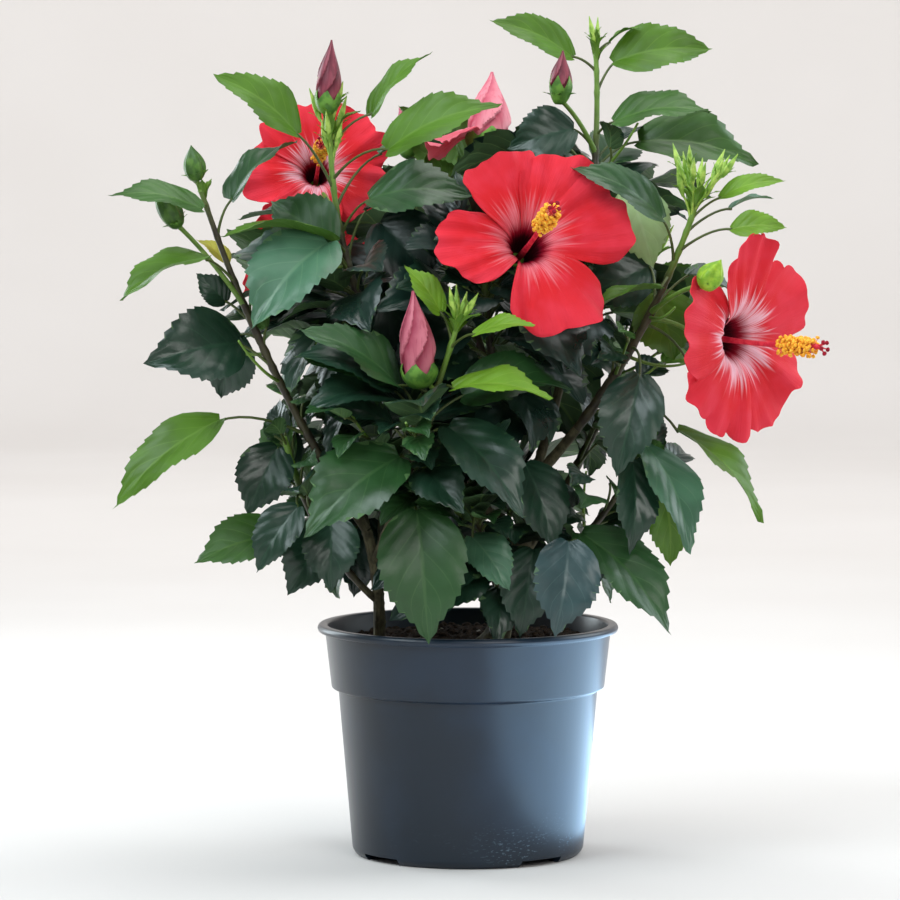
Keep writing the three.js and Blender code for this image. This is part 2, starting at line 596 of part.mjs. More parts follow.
// The other leaves follow the growth rule: they spiral up the shoot by the golden angle, lean outwards, and
// hang lower and grow larger towards its foot. One that would touch anything or leave the crown's reach
// tries other turns and a smaller size, and is then left out.
const TRIES = [[0, 1], [45, 1], [-45, 1], [90, 0.9], [-90, 0.9], [20, 0.7], [-20, 0.7], [180, 0.8]];
Object.entries(CANES).forEach(([name, cane], number) => {
  const draw = chance(4200 + 17 * number);
  const { curve } = canes[name];
  for (let k = 0; k < cane.leaves; k++) {
    const up = between(cane.bare + 0.06, cane.crown ?? 0.97, ((k + 0.5) / cane.leaves) ** 0.9);
    const young = (up - cane.bare) / (1 - cane.bare);
    const spin = number * 50 + k * GOLDEN_TURN + draw(-18, 18);
    const full = cane.blade * between(1, 0.42, easing(0.45, 1, young)) * draw(0.86, 1.12);
    const reach = draw(0.3, 0.55);
    const hang = between(0.85, -0.5, easing(0, 1, young)) + draw(-0.25, 0.25);
    const root = curve.getPoint(up);
    const along = curve.getTangent(up);
    const outward = squareTo(root.clone().sub(CROWN.centre).setZ(0), vec(UP));
    for (const [turn, scale] of TRIES) {
      const length = full * scale;
      const across = squareTo(vec([1, 0.1, 0]), along).applyAxisAngle(along, degrees(spin + turn));
      across.addScaledVector(outward, 0.7).normalize();
      const stalk = across.clone().addScaledVector(along, between(0.45, 1.1, young)).normalize();
      const base = root.clone().addScaledVector(stalk, length * reach);
      const blade = stalk.clone().setZ(stalk.z * 0.4 - hang).normalize().multiplyScalar(length);
      const face = vec(UP).addScaledVector(outward, 0.75);
      const tip = base.clone().add(blade);
      if (tip.z < SOIL.top + 8 || Math.hypot(tip.x, tip.y) > crownReach(tip.z)) continue;
      if (settleLeaf(name, { up, base, blade, width: length * 0.7, face })) break;
    }
  }
});

// Finishes as seen on the plant
const finish = (color, roughness) => new THREE.MeshStandardMaterial({ color, roughness, metalness: 0 });
const FINISHES = {
  pot: finish('#3a444d', 0.38),
  soil: finish('#2b211b', 0.95),
  bark: finish('#55503c', 0.85),
  leaf: finish('#2d6a35', 0.5),
};

const plant = new THREE.Group();
plant.add(meshOf('pot', pot, FINISHES.pot));
plant.add(meshOf('soil', soil, FINISHES.soil));
for (const [name, stem] of Object.entries(rooted)) plant.add(meshOf(name, stem.solid, FINISHES.bark));
for (const [name, cane] of Object.entries(canes)) {
  plant.add(meshOf(`bough_${name}`, cane.bough, FINISHES.bark));
  plant.add(meshOf(`shoot_${name}`, joined(cane.pieces), FINISHES.leaf));
}

export default plant;
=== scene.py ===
# %% [markdown]
# # A potted hibiscus in bloom
# The imported part gives every place and size here: the pot, the two rooted stems, the boughs and the room of
# each leafy shoot. This script dresses it. Pot and mix are turned again with fine profiles, the wood gets
# bark, and every shoot is grown once more by the same rule, with serrated leaves, blooms and buds.

# %% The frame, and the imported part
import math
from types import SimpleNamespace as Named

import bpy
import numpy as np
from mathutils.bvhtree import BVHTree
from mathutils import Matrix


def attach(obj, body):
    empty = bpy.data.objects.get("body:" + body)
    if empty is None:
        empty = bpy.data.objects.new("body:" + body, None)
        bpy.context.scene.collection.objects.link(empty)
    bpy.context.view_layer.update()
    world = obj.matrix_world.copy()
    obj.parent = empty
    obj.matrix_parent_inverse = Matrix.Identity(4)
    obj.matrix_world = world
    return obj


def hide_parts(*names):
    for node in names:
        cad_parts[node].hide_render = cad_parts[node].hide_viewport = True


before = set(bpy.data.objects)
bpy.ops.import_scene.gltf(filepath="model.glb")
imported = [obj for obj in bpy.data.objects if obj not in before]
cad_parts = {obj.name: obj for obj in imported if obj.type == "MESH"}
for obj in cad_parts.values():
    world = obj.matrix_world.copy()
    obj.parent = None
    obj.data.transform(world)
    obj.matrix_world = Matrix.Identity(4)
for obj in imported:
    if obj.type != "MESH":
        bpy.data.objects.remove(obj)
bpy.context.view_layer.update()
SHOOT_NODES = sorted(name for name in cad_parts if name.startswith("shoot_"))
BOUGH_NODES = sorted(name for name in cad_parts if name.startswith("bough_"))
print("shoots:", len(SHOOT_NODES), "boughs:", len(BOUGH_NODES))

# %% [markdown]
# ## The camera
# The photograph is taken from about three metres with a long lens, a little above the blooms and looking
# slightly down. A 36 mm wide sensor and a 202 mm lens give the same flat perspective. Petals this red lose
# their colour under a film-like curve, so the plain Standard view is used.

# %% The camera at the photograph's view
VIEW = Named(place=(-0.01069, -3.0, 0.470), pitch_down=4.353, lens=202.02, sensor=36.0)
camera = bpy.data.objects.new("camera", bpy.data.cameras.new("camera"))
bpy.context.scene.collection.objects.link(camera)
camera.location = VIEW.place
camera.rotation_euler = (math.radians(90 - VIEW.pitch_down), 0, 0)
camera.data.lens = VIEW.lens
camera.data.sensor_width = VIEW.sensor
bpy.context.scene.camera = camera
bpy.context.scene.view_settings.view_transform = "Standard"

# %% [markdown]
# ## Small helpers
# Shapes are worked out in millimetres as whole arrays, and only the last step turns them into metres. Chance
# is a plain repeatable sum, the one of the part's source, so the plant grows the same way each time.

# %% Helpers for numbers and directions
MM = 0.001
UP = np.array([0.0, 0.0, 1.0])
SLANT = np.array([0.93, 0.2, 0.31])  # a way that no limb runs
GOLDEN_TURN = 137.5


def between(a, b, t):
    """The value a share t of the way from a to b."""
    return a + (b - a) * t


def easing(low, high, x):
    """0 below low and 1 above high. Between them, with s the share of the way, it is 3s² - 2s³."""
    s = np.clip((np.asarray(x, float) - low) / (high - low), 0, 1)
    return s * s * (3 - 2 * s)


def unit(v):
    """Each vector divided by its length."""
    v = np.asarray(v, float)
    return v / np.maximum(np.linalg.norm(v, axis=-1, keepdims=True), 1e-12)


def square_to(direction, along):
    """The part of a direction square to another: the direction less its share along it, made one long."""
    direction = np.asarray(direction, float)
    return unit(direction - (direction * along).sum(-1, keepdims=True) * along)


def turned(v, axis, angle):
    """A vector turned about an axis square to it: v cos + (axis × v) sin."""
    return v * math.cos(angle) + np.cross(axis, v) * math.sin(angle)


def chance(seed):
    """Repeatable numbers: each state is 1664525 times the last plus 1013904223, less whole turns of 2³²."""
    state = seed

    def draw(low, high):
        nonlocal state
        state = (1664525 * state + 1013904223) % 2**32
        return low + (high - low) * state / 2**32

    return draw


def on_curve(curve, t):
    """A point of a bowed curve: (1-t)² of its start, 2t(1-t) of its middle handle and t² of its end."""
    t = np.asarray(t, float)[..., None]
    return (1 - t) ** 2 * curve[0] + 2 * t * (1 - t) * curve[1] + t**2 * curve[2]


def tangent(curve, t):
    """The way a bowed curve runs at t, from its first derivative."""
    t = np.asarray(t, float)[..., None]
    return unit((1 - t) * (curve[1] - curve[0]) + t * (curve[2] - curve[1]))


def bowed(start, end, bow):
    """A curve from start to end that stands off the straight line by bow at its middle."""
    start, end = np.asarray(start, float), np.asarray(end, float)
    return np.array([start, (start + end) / 2 + 2 * np.asarray(bow, float), end])


def two_sides(along, start=SLANT):
    """Two directions square to a way and to each other: the start made square to it, and along × that."""
    across = square_to(start, along)
    return across, np.cross(along, across)


def ring_turns(sides):
    """Evenly spaced angles of one turn."""
    return np.arange(sides) * 2 * np.pi / sides


def round_about(across, over, turn):
    """The way out at each turn: across cos + over sin."""
    return np.cos(turn)[..., None] * across + np.sin(turn)[..., None] * over


def table(keys, rows):
    """Rows of values as things with the same names for them. Each list is made an array."""
    arrays = lambda row: [np.array(value, float) if isinstance(value, list) else value for value in row]
    return [Named(**dict(zip(keys.split(), arrays(row)))) for row in rows]


# %% [markdown]
# ## From arrays to meshes
# Nearly every piece here is a loft: rings of points along a path, quads between them, and a fan at each end
# so that it is closed. A tube carries its ring directions along a curve without twisting. A thin sheet such
# as a petal is the other kind: a front grid, a back grid and a narrow strip round the edge. `make_piece`
# joins many of them into one mesh, with a UV map for patterns that follow a blade.

# %% Lofts, sheets and pieces
SIX_ML = 6000  # cubic millimetres, because three corners and the origin span a sixth of their box


def loft_faces(rows, sides):
    """Quads between rows of rings, and a fan over each end. The last two points are the fans' centres."""
    ring = np.arange(rows * sides).reshape(rows, sides)
    after = np.roll(ring, -1, axis=1)
    quads = np.stack([ring[:-1], after[:-1], after[1:], ring[1:]], -1).reshape(-1, 4)
    first = np.stack([np.full(sides, rows * sides), after[0], ring[0]], -1)
    last = np.stack([np.full(sides, rows * sides + 1), ring[-1], after[-1]], -1)
    return quads, np.concatenate([first, last])


def sheet_faces(rows, columns):
    """A thin closed sheet: front quads, back quads the other way round, and a strip along the four edges."""
    front = np.arange(rows * columns).reshape(rows, columns)
    back = front + rows * columns
    faces = np.stack([front[:-1, :-1], front[1:, :-1], front[1:, 1:], front[:-1, 1:]], -1).reshape(-1, 4)
    edge = np.concatenate([front[0, :-1], front[:-1, -1], front[-1, :0:-1], front[:0:-1, 0]])
    after = np.roll(edge, -1)
    under = rows * columns
    strip = np.stack([edge, after, after + under, edge + under], -1)
    return np.concatenate([faces, faces[:, ::-1] + under, strip]), np.empty((0, 3), int)


def part_of(points, faces, uv=None, tone=None, finish=0):
    """Shapes of one layout, as one part of a piece. points is (shapes, points of each, 3)."""
    points = np.asarray(points, float)
    points = points.reshape(-1, *points.shape[-2:])
    count, size = points.shape[:2]
    shift = (np.arange(count) * size)[:, None, None]
    spread = lambda values, width: np.broadcast_to(values, (count, size, width)).reshape(-1, width)
    return {
        "points": points.reshape(-1, 3),
        "quads": (faces[0] + shift).reshape(-1, 4),
        "tris": (faces[1] + shift).reshape(-1, 3),
        "uv": spread(np.zeros(2) if uv is None else uv, 2),
        "tone": spread(np.zeros(1) if tone is None else np.asarray(tone)[..., None], 1)[:, 0],
        "finish": np.tile(np.broadcast_to(finish, len(faces[0]) + len(faces[1])), (count, 1)),
        "split": len(faces[0]),
    }


def tube(curve, radius, rows, sides, start=0.0, end=1.0, relief=None, tone=None):
    """A closed tube: centre(t) + r(t) (1 + relief(t, a)) (across cos a + over sin a)."""
    t = np.linspace(start, end, rows)
    centre, along = on_curve(curve, t), tangent(curve, np.clip(t, 0, 1))
    across, over = two_sides(along)
    angle = ring_turns(sides)[None, :]
    size = np.broadcast_to(radius(t)[:, None], (rows, sides))
    if relief is not None:
        size = size * (1 + relief(t[:, None], angle))
    rings = centre[:, None] + size[..., None] * round_about(across[:, None], over[:, None], angle)
    points = np.concatenate([rings.reshape(-1, 3), centre[:1], centre[-1:]])
    if tone is None:
        return part_of(points, loft_faces(rows, sides))
    shade = np.broadcast_to(tone(t[:, None], angle), (rows, sides))
    shades = np.concatenate([shade.ravel(), shade[0, :1], shade[-1, :1]])
    return part_of(points, loft_faces(rows, sides), tone=shades)


def make_piece(name, parts, materials, replaces=SHOOT_NODES, sharp=48):
    """One mesh in metres that rides on the root. Unless told otherwise it is foliage for all the shoots."""
    starts = np.cumsum([0] + [len(p["points"]) for p in parts])
    points = np.concatenate([p["points"] for p in parts])
    quads = np.concatenate([p["quads"] + s for p, s in zip(parts, starts)])
    tris = np.concatenate([p["tris"] + s for p, s in zip(parts, starts)])
    finish = [p["finish"][:, : p["split"]].ravel() for p in parts]
    finish += [p["finish"][:, p["split"] :].ravel() for p in parts]
    loops = np.concatenate([quads.ravel(), tris.ravel()])
    mesh = bpy.data.meshes.new(name)
    mesh.from_pydata((points * MM).tolist(), [], quads.tolist() + tris.tolist())
    mesh.polygons.foreach_set("material_index", np.concatenate(finish).astype(np.int32))
    uv = np.concatenate([p["uv"] for p in parts])[loops]
    mesh.uv_layers.new(name="blade").uv.foreach_set("vector", uv.astype(np.float32).ravel())
    tone = np.concatenate([p["tone"] for p in parts]).astype(np.float32)
    mesh.attributes.new("tone", "FLOAT", "POINT").data.foreach_set("value", tone)
    mesh.shade_smooth()
    mesh.set_sharp_from_angle(angle=math.radians(sharp))
    piece = bpy.data.objects.new(name, mesh)
    bpy.context.scene.collection.objects.link(piece)
    for material in materials:
        mesh.materials.append(material)
    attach(piece, "root")
    if replaces:
        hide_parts(*replaces)
    corners = points[np.concatenate([tris, quads[:, :3], quads[:, [0, 2, 3]]])]
    volume = np.einsum("ij,ij->i", corners[:, 0], np.cross(corners[:, 1], corners[:, 2])).sum() / SIX_ML
    print(f"{name}: {2 * len(quads) + len(tris)} triangles, {volume:.2f} ml")
    return piece


# %% [markdown]
# ## Finishes
# Each finish is a small node tree. The class below starts one and gives short ways to add nodes, so that a
# pattern reads as a few lines. Colours are given as they look on screen and turned into linear values.

# %% Helpers for finishes
def paint(red, green, blue):
    """A screen colour of 0 to 255 as linear light: c/12.92 near black, otherwise ((c + 0.055)/1.055)^2.4."""
    c = np.array([red, green, blue]) / 255
    linear = np.where(c <= 0.04045, c / 12.92, ((c + 0.055) / 1.055) ** 2.4)
    return (*linear.tolist(), 1.0)


class Finish:
    """A material, its Principled shader, and short ways to add the nodes that feed it."""

    def __init__(self, name, **values):
        """Starts the material and sets plain values on the shader's own sockets."""
        self.material = bpy.data.materials.new(name)
        self.material.use_nodes = True
        self.nodes = self.material.node_tree.nodes
        self.shader = self.nodes["Principled BSDF"]
        for socket, value in values.items():
            self.set(socket.replace("_", " "), value)
        self.place = self.add("TexCoord", {}, 3)

    def feed(self, socket, value):
        """Links a socket to another one, or gives it a plain value."""
        if isinstance(value, bpy.types.NodeSocket):
            self.material.node_tree.links.new(value, socket)
        else:
            socket.default_value = value

    def set(self, name, value):
        """Feeds one of the shader's sockets."""
        self.feed(self.shader.inputs[name], value)

    def add(self, kind, inputs, output=0, **settings):
        """Adds a node with its settings and inputs. Returns one of its outputs, or all of them for None."""
        node = self.nodes.new("ShaderNode" + kind)
        for key, value in settings.items():
            setattr(node, key, value)
        for key, value in inputs.items():
            self.feed(node.inputs[key], value)
        return node.outputs if output is None else node.outputs[output]

    def maths(self, operation, a, b=0.0):
        """One sum of the maths node."""
        return self.add("Math", {0: a, 1: b}, operation=operation)

    def from_half(self, value):
        """How far a value is from a half."""
        return self.maths("ABSOLUTE", self.maths("SUBTRACT", value, 0.5))

    def times(self, a, b):
        """a × b."""
        return self.maths("MULTIPLY", a, b)

    def plus(self, a, b):
        """a + b."""
        return self.maths("ADD", a, b)

    def ranged(self, value, low, high, to_low=0.0, to_high=1.0):
        """A value carried softly from one range to another and held there."""
        inputs = {"Value": value, "From Min": low, "From Max": high, "To Min": to_low, "To Max": to_high}
        return self.add("MapRange", inputs, interpolation_type="SMOOTHSTEP")

    def mixed(self, share, a, b):
        """Colour a with colour b laid over it by share."""
        return self.add("Mix", {0: share, 6: a, 7: b}, 2, data_type="RGBA")

    def noise(self, scale, detail, at=None, stretch=None, **more):
        """Noise over the piece's own place, or over another vector, drawn out where the stretch is small."""
        at = self.place if at is None else at
        if stretch:
            at = self.add("Mapping", {"Vector": at, "Scale": stretch})
        return self.add("TexNoise", {"Vector": at, "Scale": scale, "Detail": detail, **more})

    def tone(self):
        """The tone that each point of the piece carries."""
        return self.add("Attribute", {}, 2, attribute_name="tone")

    def blade(self):
        """The place on a leaf or petal: its UV vector, the share along it and the share across it."""
        place = self.add("UVMap", {}, uv_map="blade")
        along, across, _ = self.add("SeparateXYZ", {0: place}, None)
        return place, along, across

    def bump(self, height, strength, distance):
        """Relief by shading, for what is finer than the mesh."""
        self.set("Normal", self.add("Bump", {"Height": height, "Strength": strength, "Distance": distance}))

    def let_through(self, share, colour):
        """Lets a share of the light through, tinted by a colour, as thin leaves and petals do."""
        glow = self.add("BsdfTranslucent", {"Color": colour})
        blend = self.add("MixShader", {0: share, 1: self.shader.outputs[0], 2: glow})
        self.feed(self.nodes["Material Output"].inputs["Surface"], blend)


# %% [markdown]
# ## The pot
# The real pot is moulded nursery plastic: a thin flaring wall, a collar that steps out over the top quarter
# of its height, a rolled lip, and a foot ring with drainage notches. It is one profile carried round the
# axis. Short curves round its corners, because small crisp radii catch the light as the moulded ones do. A
# Boolean cuts the notches and the drain holes.

# %% The pot's profile
POT = Named(
    height=138, rim=90, lip=4.5, collar_top=85.2, collar_foot=81.4, collar_z=100, body_top=77.4, base=69,
    foot=66, corner=3, wall=1.5, floor=2, pad=44, channel_inner=47, channel_outer=58, channel_height=4,
    slope=2, step=1,
)
# One radius for each inner corner of the profile, from the pad under the floor round to the floor inside
ROUNDING = [1, 1, 1, 0.8, 0.8, 2.2, 1.2, 1.1, 1.2, 0.9, 1.6, 1.5, 1.6, 1.5, 1.5, 2, 1, 1]
NOTCH = Named(count=4, first_angle=-50, width=30, height=4, depth=16)
DRAIN = Named(count=6, radius=4, ring=52.5, length=10)
POT_SIDES = 192
NEAR_CORNER = 0.45  # most of a side that a rounding may take


def rounded(profile, radii, steps=5):
    """A profile whose inner corners become small curves between points a radius away on both sides."""
    profile = np.asarray(profile, float)
    points = [profile[:1]]
    for before, corner, after, radius in zip(profile, profile[1:], profile[2:], radii):
        shorter = min(np.linalg.norm(before - corner), np.linalg.norm(after - corner))
        reach = min(radius, NEAR_CORNER * shorter)
        ends = corner + unit(before - corner) * reach, corner + unit(after - corner) * reach
        points.append(on_curve([ends[0], corner, ends[1]], np.linspace(0, 1, steps)))
    return np.concatenate(points + [profile[-1:]])


def turned_piece(profile, sides):
    """A profile [radius, height] carried round the axis: x = r cos a, y = r sin a. It ends on the axis."""
    angle = ring_turns(sides)
    radius, height = profile[1:-1, :1], profile[1:-1, 1:]
    flat = np.broadcast_to(height, (len(height), sides))
    rings = np.stack([radius * np.cos(angle), radius * np.sin(angle), flat], -1)
    ends = np.array([[0, 0, profile[0, 1]], [0, 0, profile[-1, 1]]])
    return np.concatenate([rings.reshape(-1, 3), ends]), loft_faces(len(rings), sides)


wall, top = POT.wall, POT.height
pot_profile = rounded(
    [
        [0, 0], [POT.pad, 0], [POT.channel_inner, POT.channel_height],
        [POT.channel_outer, POT.channel_height], [POT.channel_outer + POT.slope, 0], [POT.foot, 0],
        [POT.base, POT.corner], [POT.body_top, POT.collar_z - POT.step],
        [POT.collar_foot, POT.collar_z], [POT.collar_top, top - POT.lip],
        [POT.rim - 1, top - POT.lip], [POT.rim, top - POT.lip / 2], [POT.rim - 1.2, top],
        [POT.collar_top - wall, top], [POT.collar_foot - wall, POT.collar_z + wall],
        [POT.body_top - wall, POT.collar_z - wall],
        [POT.base - wall, POT.channel_height + POT.floor],
        [POT.channel_inner - 1, POT.channel_height + POT.floor],
        [POT.pad - 1, POT.floor], [0, POT.floor],
    ],
    ROUNDING,
)
print("pot profile:", len(pot_profile), "points")

# %% [markdown]
# The plastic is a dark slate blue, glossy but handled: cloudy with dust, with fine scuffs up the wall and
# flecks low down where pots rub together. The marks show in roughness and a faint bump more than in colour.

# %% The pot's plastic
PLASTIC = Named(
    shade=paint(17, 30, 42), light=paint(25, 40, 56), rubbed=paint(112, 134, 150), smooth=0.29, dusty=0.37,
    rubbed_up_to=0.036,
)


def pot_plastic():
    """Dark slate gloss: soft dust in its roughness, drawn lines up the wall and rubbed flecks low down."""
    look = Finish("slate_plastic", Specular_IOR_Level=0.45)
    cloud = look.noise(16.0, 4.0)
    drawn = look.noise(190.0, 4.0, stretch=(1.0, 1.0, 0.1), Roughness=0.6)
    fleck = look.noise(420.0, 3.0, stretch=(1.0, 1.0, 2.6))
    patch = look.noise(38.0, 2.0)
    across, _, height = look.add("SeparateXYZ", {0: look.place}, None)
    low = look.times(look.ranged(height, PLASTIC.rubbed_up_to, 0.006), look.ranged(patch, 0.45, 0.6))
    low = look.times(low, look.ranged(across, 0.0, 0.03, 0.25, 1.0))
    rubbed = look.times(look.ranged(fleck, 0.58, 0.68), low)
    base = look.mixed(look.ranged(cloud, 0.4, 0.72), PLASTIC.shade, PLASTIC.light)
    look.set("Base Color", look.mixed(look.times(rubbed, 0.55), base, PLASTIC.rubbed))
    gloss = look.ranged(cloud, 0.35, 0.75, PLASTIC.smooth, PLASTIC.dusty)
    look.set("Roughness", look.plus(gloss, look.times(rubbed, 0.3)))
    look.bump(drawn, strength=0.1, distance=0.0002)
    return look.material


# %% Turning the pot and cutting its openings
CRISP = 38  # degrees between two faces from which their edge stays sharp


def cutter_box(angle):
    """A box on the foot ring, turned about the pot's axis."""
    signs = np.stack(np.meshgrid([-1, 1], [-1, 1], [-1, 1], indexing="ij"), -1).reshape(-1, 3)
    corners = signs * [NOTCH.width / 2, NOTCH.depth / 2, NOTCH.height] - np.array([0, POT.foot, 0])
    turn = np.array([[math.cos(angle), -math.sin(angle)], [math.sin(angle), math.cos(angle)]])
    corners[:, :2] = corners[:, :2] @ turn.T
    quads = [[0, 1, 3, 2], [4, 6, 7, 5], [0, 4, 5, 1], [2, 3, 7, 6], [0, 2, 6, 4], [1, 5, 7, 3]]
    return part_of(corners, (np.array(quads), np.empty((0, 3), int)))


def cutter_post(angle, sides=24):
    """A round post that stands through the floor."""
    radius, length = DRAIN.radius, DRAIN.length
    outline = np.array([[0, -length], [radius, -length], [radius, length], [0, length]])
    points, faces = turned_piece(outline, sides)
    return part_of(points + DRAIN.ring * np.array([math.cos(angle), math.sin(angle), 0]), faces)


def cut_out(piece, parts):
    """Cuts parts out of a piece with a Boolean and keeps the result in its mesh."""
    tool = make_piece("cutter", parts, [], ())
    modifier = piece.modifiers.new("openings", "BOOLEAN")
    modifier.operation = "DIFFERENCE"
    modifier.solver = "EXACT"
    modifier.object = tool
    evaluated = piece.evaluated_get(bpy.context.evaluated_depsgraph_get())
    cut = bpy.data.meshes.new_from_object(evaluated)
    piece.modifiers.clear()
    piece.data = cut
    bpy.data.objects.remove(tool)
    cut.set_sharp_from_angle(angle=math.radians(CRISP))
    print(piece.name, "after cutting:", len(cut.polygons), "faces")


pot_shape = part_of(*turned_piece(pot_profile, POT_SIDES))
pot = make_piece("pot_wall", [pot_shape], [pot_plastic()], ["pot"])
quarter = 2 * math.pi / NOTCH.count
sixth = 2 * math.pi / DRAIN.count
openings = [cutter_box(math.radians(NOTCH.first_angle) + quarter * k) for k in range(NOTCH.count)]
openings += [cutter_post(sixth * (k + 0.5)) for k in range(DRAIN.count)]
cut_out(pot, openings)

# %% [markdown]
# ## The potting mix
# The mix is peat and bark, heaped a few millimetres over the flat top of the solid. Its top is a polar grid
# whose height wanders by a sum of waves, and clods lie on it: one few-sided ball, stretched and turned.

# %% Uneven ground
SOIL = Named(top=124, heap=4.2, gap=0.3, hollow=1.5, hollow_from=70, hollow_to=80)
SOIL_WAVES = {"seed": 3, "sizes": [46, 19, 8, 3.4], "heights": [0.9, 0.9, 0.8, 0.5]}
GROUND = SOIL.top + SOIL.gap
CLODS = Named(
    count=520, grit=34, reach=77, uneven=(0.75, 1.15), least=[0.7, 0.7, 0.45], most=[1.5, 1.0, 0.8],
    sunk=0.2,
)


def waves(x, y, seed, sizes, heights):
    """A sum of sine waves in seeded directions: for each size, height times sin of the way along it."""
    rng = np.random.default_rng(seed)
    total = np.zeros(np.broadcast(x, y).shape)
    for size, height in zip(sizes, heights):
        for angle, start in zip(rng.uniform(0, 2 * np.pi, 3), rng.uniform(0, 2 * np.pi, 3)):
            total += height / 3 * np.sin((x * np.cos(angle) + y * np.sin(angle)) * 2 * np.pi / size + start)
    return total


def soil_top(x, y):
    """Height of the mix at a place: heaped a little, with a hollow by the wall and waves of four sizes."""
    hollow = -SOIL.hollow * easing(SOIL.hollow_from, SOIL.hollow_to, np.hypot(x, y))
    return SOIL.top + SOIL.heap + hollow + waves(x, y, **SOIL_WAVES)


def soil_shape(rows=52, sides=150):
    """The mix as one turned body that keeps a gap from the pot, and whose top rings follow soil_top."""
    gap = SOIL.gap
    inset, floor, roof = wall + gap, POT.floor + gap, POT.channel_height + POT.floor + gap
    under = [
        [0, floor], [POT.pad - 1.6, floor], [POT.channel_inner - 1.6, roof],
        [POT.base - inset - 0.1, roof], [POT.body_top - inset - 0.1, POT.collar_z + wall],
        [POT.collar_foot - inset + 0.2, POT.collar_z + 3 * wall],
    ]
    edge = POT.collar_foot - inset + 2.2
    rings = [[r, SOIL.top] for r in np.linspace(edge, 1.5, rows)]
    points, faces = turned_piece(np.array([*under, *rings, [0, SOIL.top]]), sides)
    above = points[:, 2] > SOIL.top - 1
    points[above, 2] = soil_top(points[above, 0], points[above, 1])
    return part_of(points, faces)


def ball_layout(rows, sides):
    """Directions over a ball, row by row from its lower pole to its upper one, and its faces."""
    lift = np.linspace(-np.pi / 2, np.pi / 2, rows + 2)[1:-1, None]
    angle = ring_turns(sides)[None, :]
    level, height = np.cos(lift), np.sin(lift) + 0 * angle
    rings = np.stack([level * np.cos(angle), level * np.sin(angle), height], -1)
    return np.concatenate([rings.reshape(-1, 3), [[0, 0, -1]], [[0, 0, 1]]]), loft_faces(rows, sides)


def lumps(count, sizes, seed):
    """Lumps strewn on the mix: balls with uneven radius, stretched, turned about up and set into it."""
    rng = np.random.default_rng(seed)
    ball, faces = ball_layout(4, 7)
    radius = rng.uniform(*sizes, (count, 1, 1)) * rng.uniform(*CLODS.uneven, (count, len(ball), 1))
    shape = ball[None] * radius * rng.uniform(CLODS.least, CLODS.most, (count, 1, 3))
    turn = rng.uniform(0, 2 * np.pi, count)
    place = CLODS.reach * np.sqrt(rng.uniform(0.01, 1, count))
    angle = rng.uniform(0, 2 * np.pi, count)
    x, y = place * np.cos(angle), place * np.sin(angle)
    cos, sin = np.cos(turn)[:, None], np.sin(turn)[:, None]
    across, back = shape[..., 0] * cos - shape[..., 1] * sin, shape[..., 0] * sin + shape[..., 1] * cos
    rolled = np.stack([across, back, shape[..., 2]], -1)
    return part_of(rolled + np.stack([x, y, soil_top(x, y) + CLODS.sunk], -1)[:, None], faces)


def speckled(name, light, dark, roughness, scale, depth, detail=4.0, grain=0.5, share=(0.38, 0.62),
             strength=0.6, sheen=0.35):
    """Two close colours dealt out by noise, with a relief of the same noise."""
    look = Finish(name, Roughness=roughness, Specular_IOR_Level=sheen)
    noise = look.noise(scale, detail, Roughness=grain)
    look.set("Base Color", look.mixed(look.ranged(noise, *share), dark, light))
    look.bump(noise, strength, depth)
    return look.material


# Dry crumb is matt, coarse and strong in its relief
CRUMB = {"detail": 6.0, "grain": 0.7, "share": (0.4, 0.66), "strength": 0.9, "sheen": 0.2}
mix_finish = speckled("potting_mix", paint(70, 52, 38), paint(30, 22, 17), 0.95, 420.0, 0.002, **CRUMB)
grit_finish = speckled("pale_grit", paint(205, 200, 190), paint(150, 143, 132), 0.95, 700.0, 0.002, **CRUMB)
grit = lumps(CLODS.grit, (0.7, 1.6), seed=12)
grit["finish"] = grit["finish"] + 1
ground_parts = [soil_shape(), lumps(CLODS.count, (0.9, 3.4), seed=11), grit]
make_piece("potting_mix", ground_parts, [mix_finish, grit_finish], ["soil"], sharp=70)

# %% [markdown]
# ## How the plant grows
# Two woody stems are rooted in the mix. Canes leave them: the lower share of each is a bare bough, and the
# rest carries leaves. The leaves, blooms and buds that the photograph shows are listed in the tables below.
# The others follow the rule of the part's source: they spiral up the shoot by the golden angle, larger and
# lower hung near its foot, and one that would touch anything tries other turns and a smaller size before it
# is left out.

# %% The stems, the canes, and what the photograph shows on them
CLEAR = 0.3  # room that bodies keep from each other
# name: (foot, tip, bow, radius at the foot and the tip, extra flare at the foot)
ROOTED = {
    "trunk": ([16, 4, GROUND], [37, -4, 222], [3, 0, 0], (7.5, 4.8), 4),
    "left_stem": ([-53, -20, GROUND], [-60, -24, 196], [3, 2, 0], (3.6, 3), 2),
}
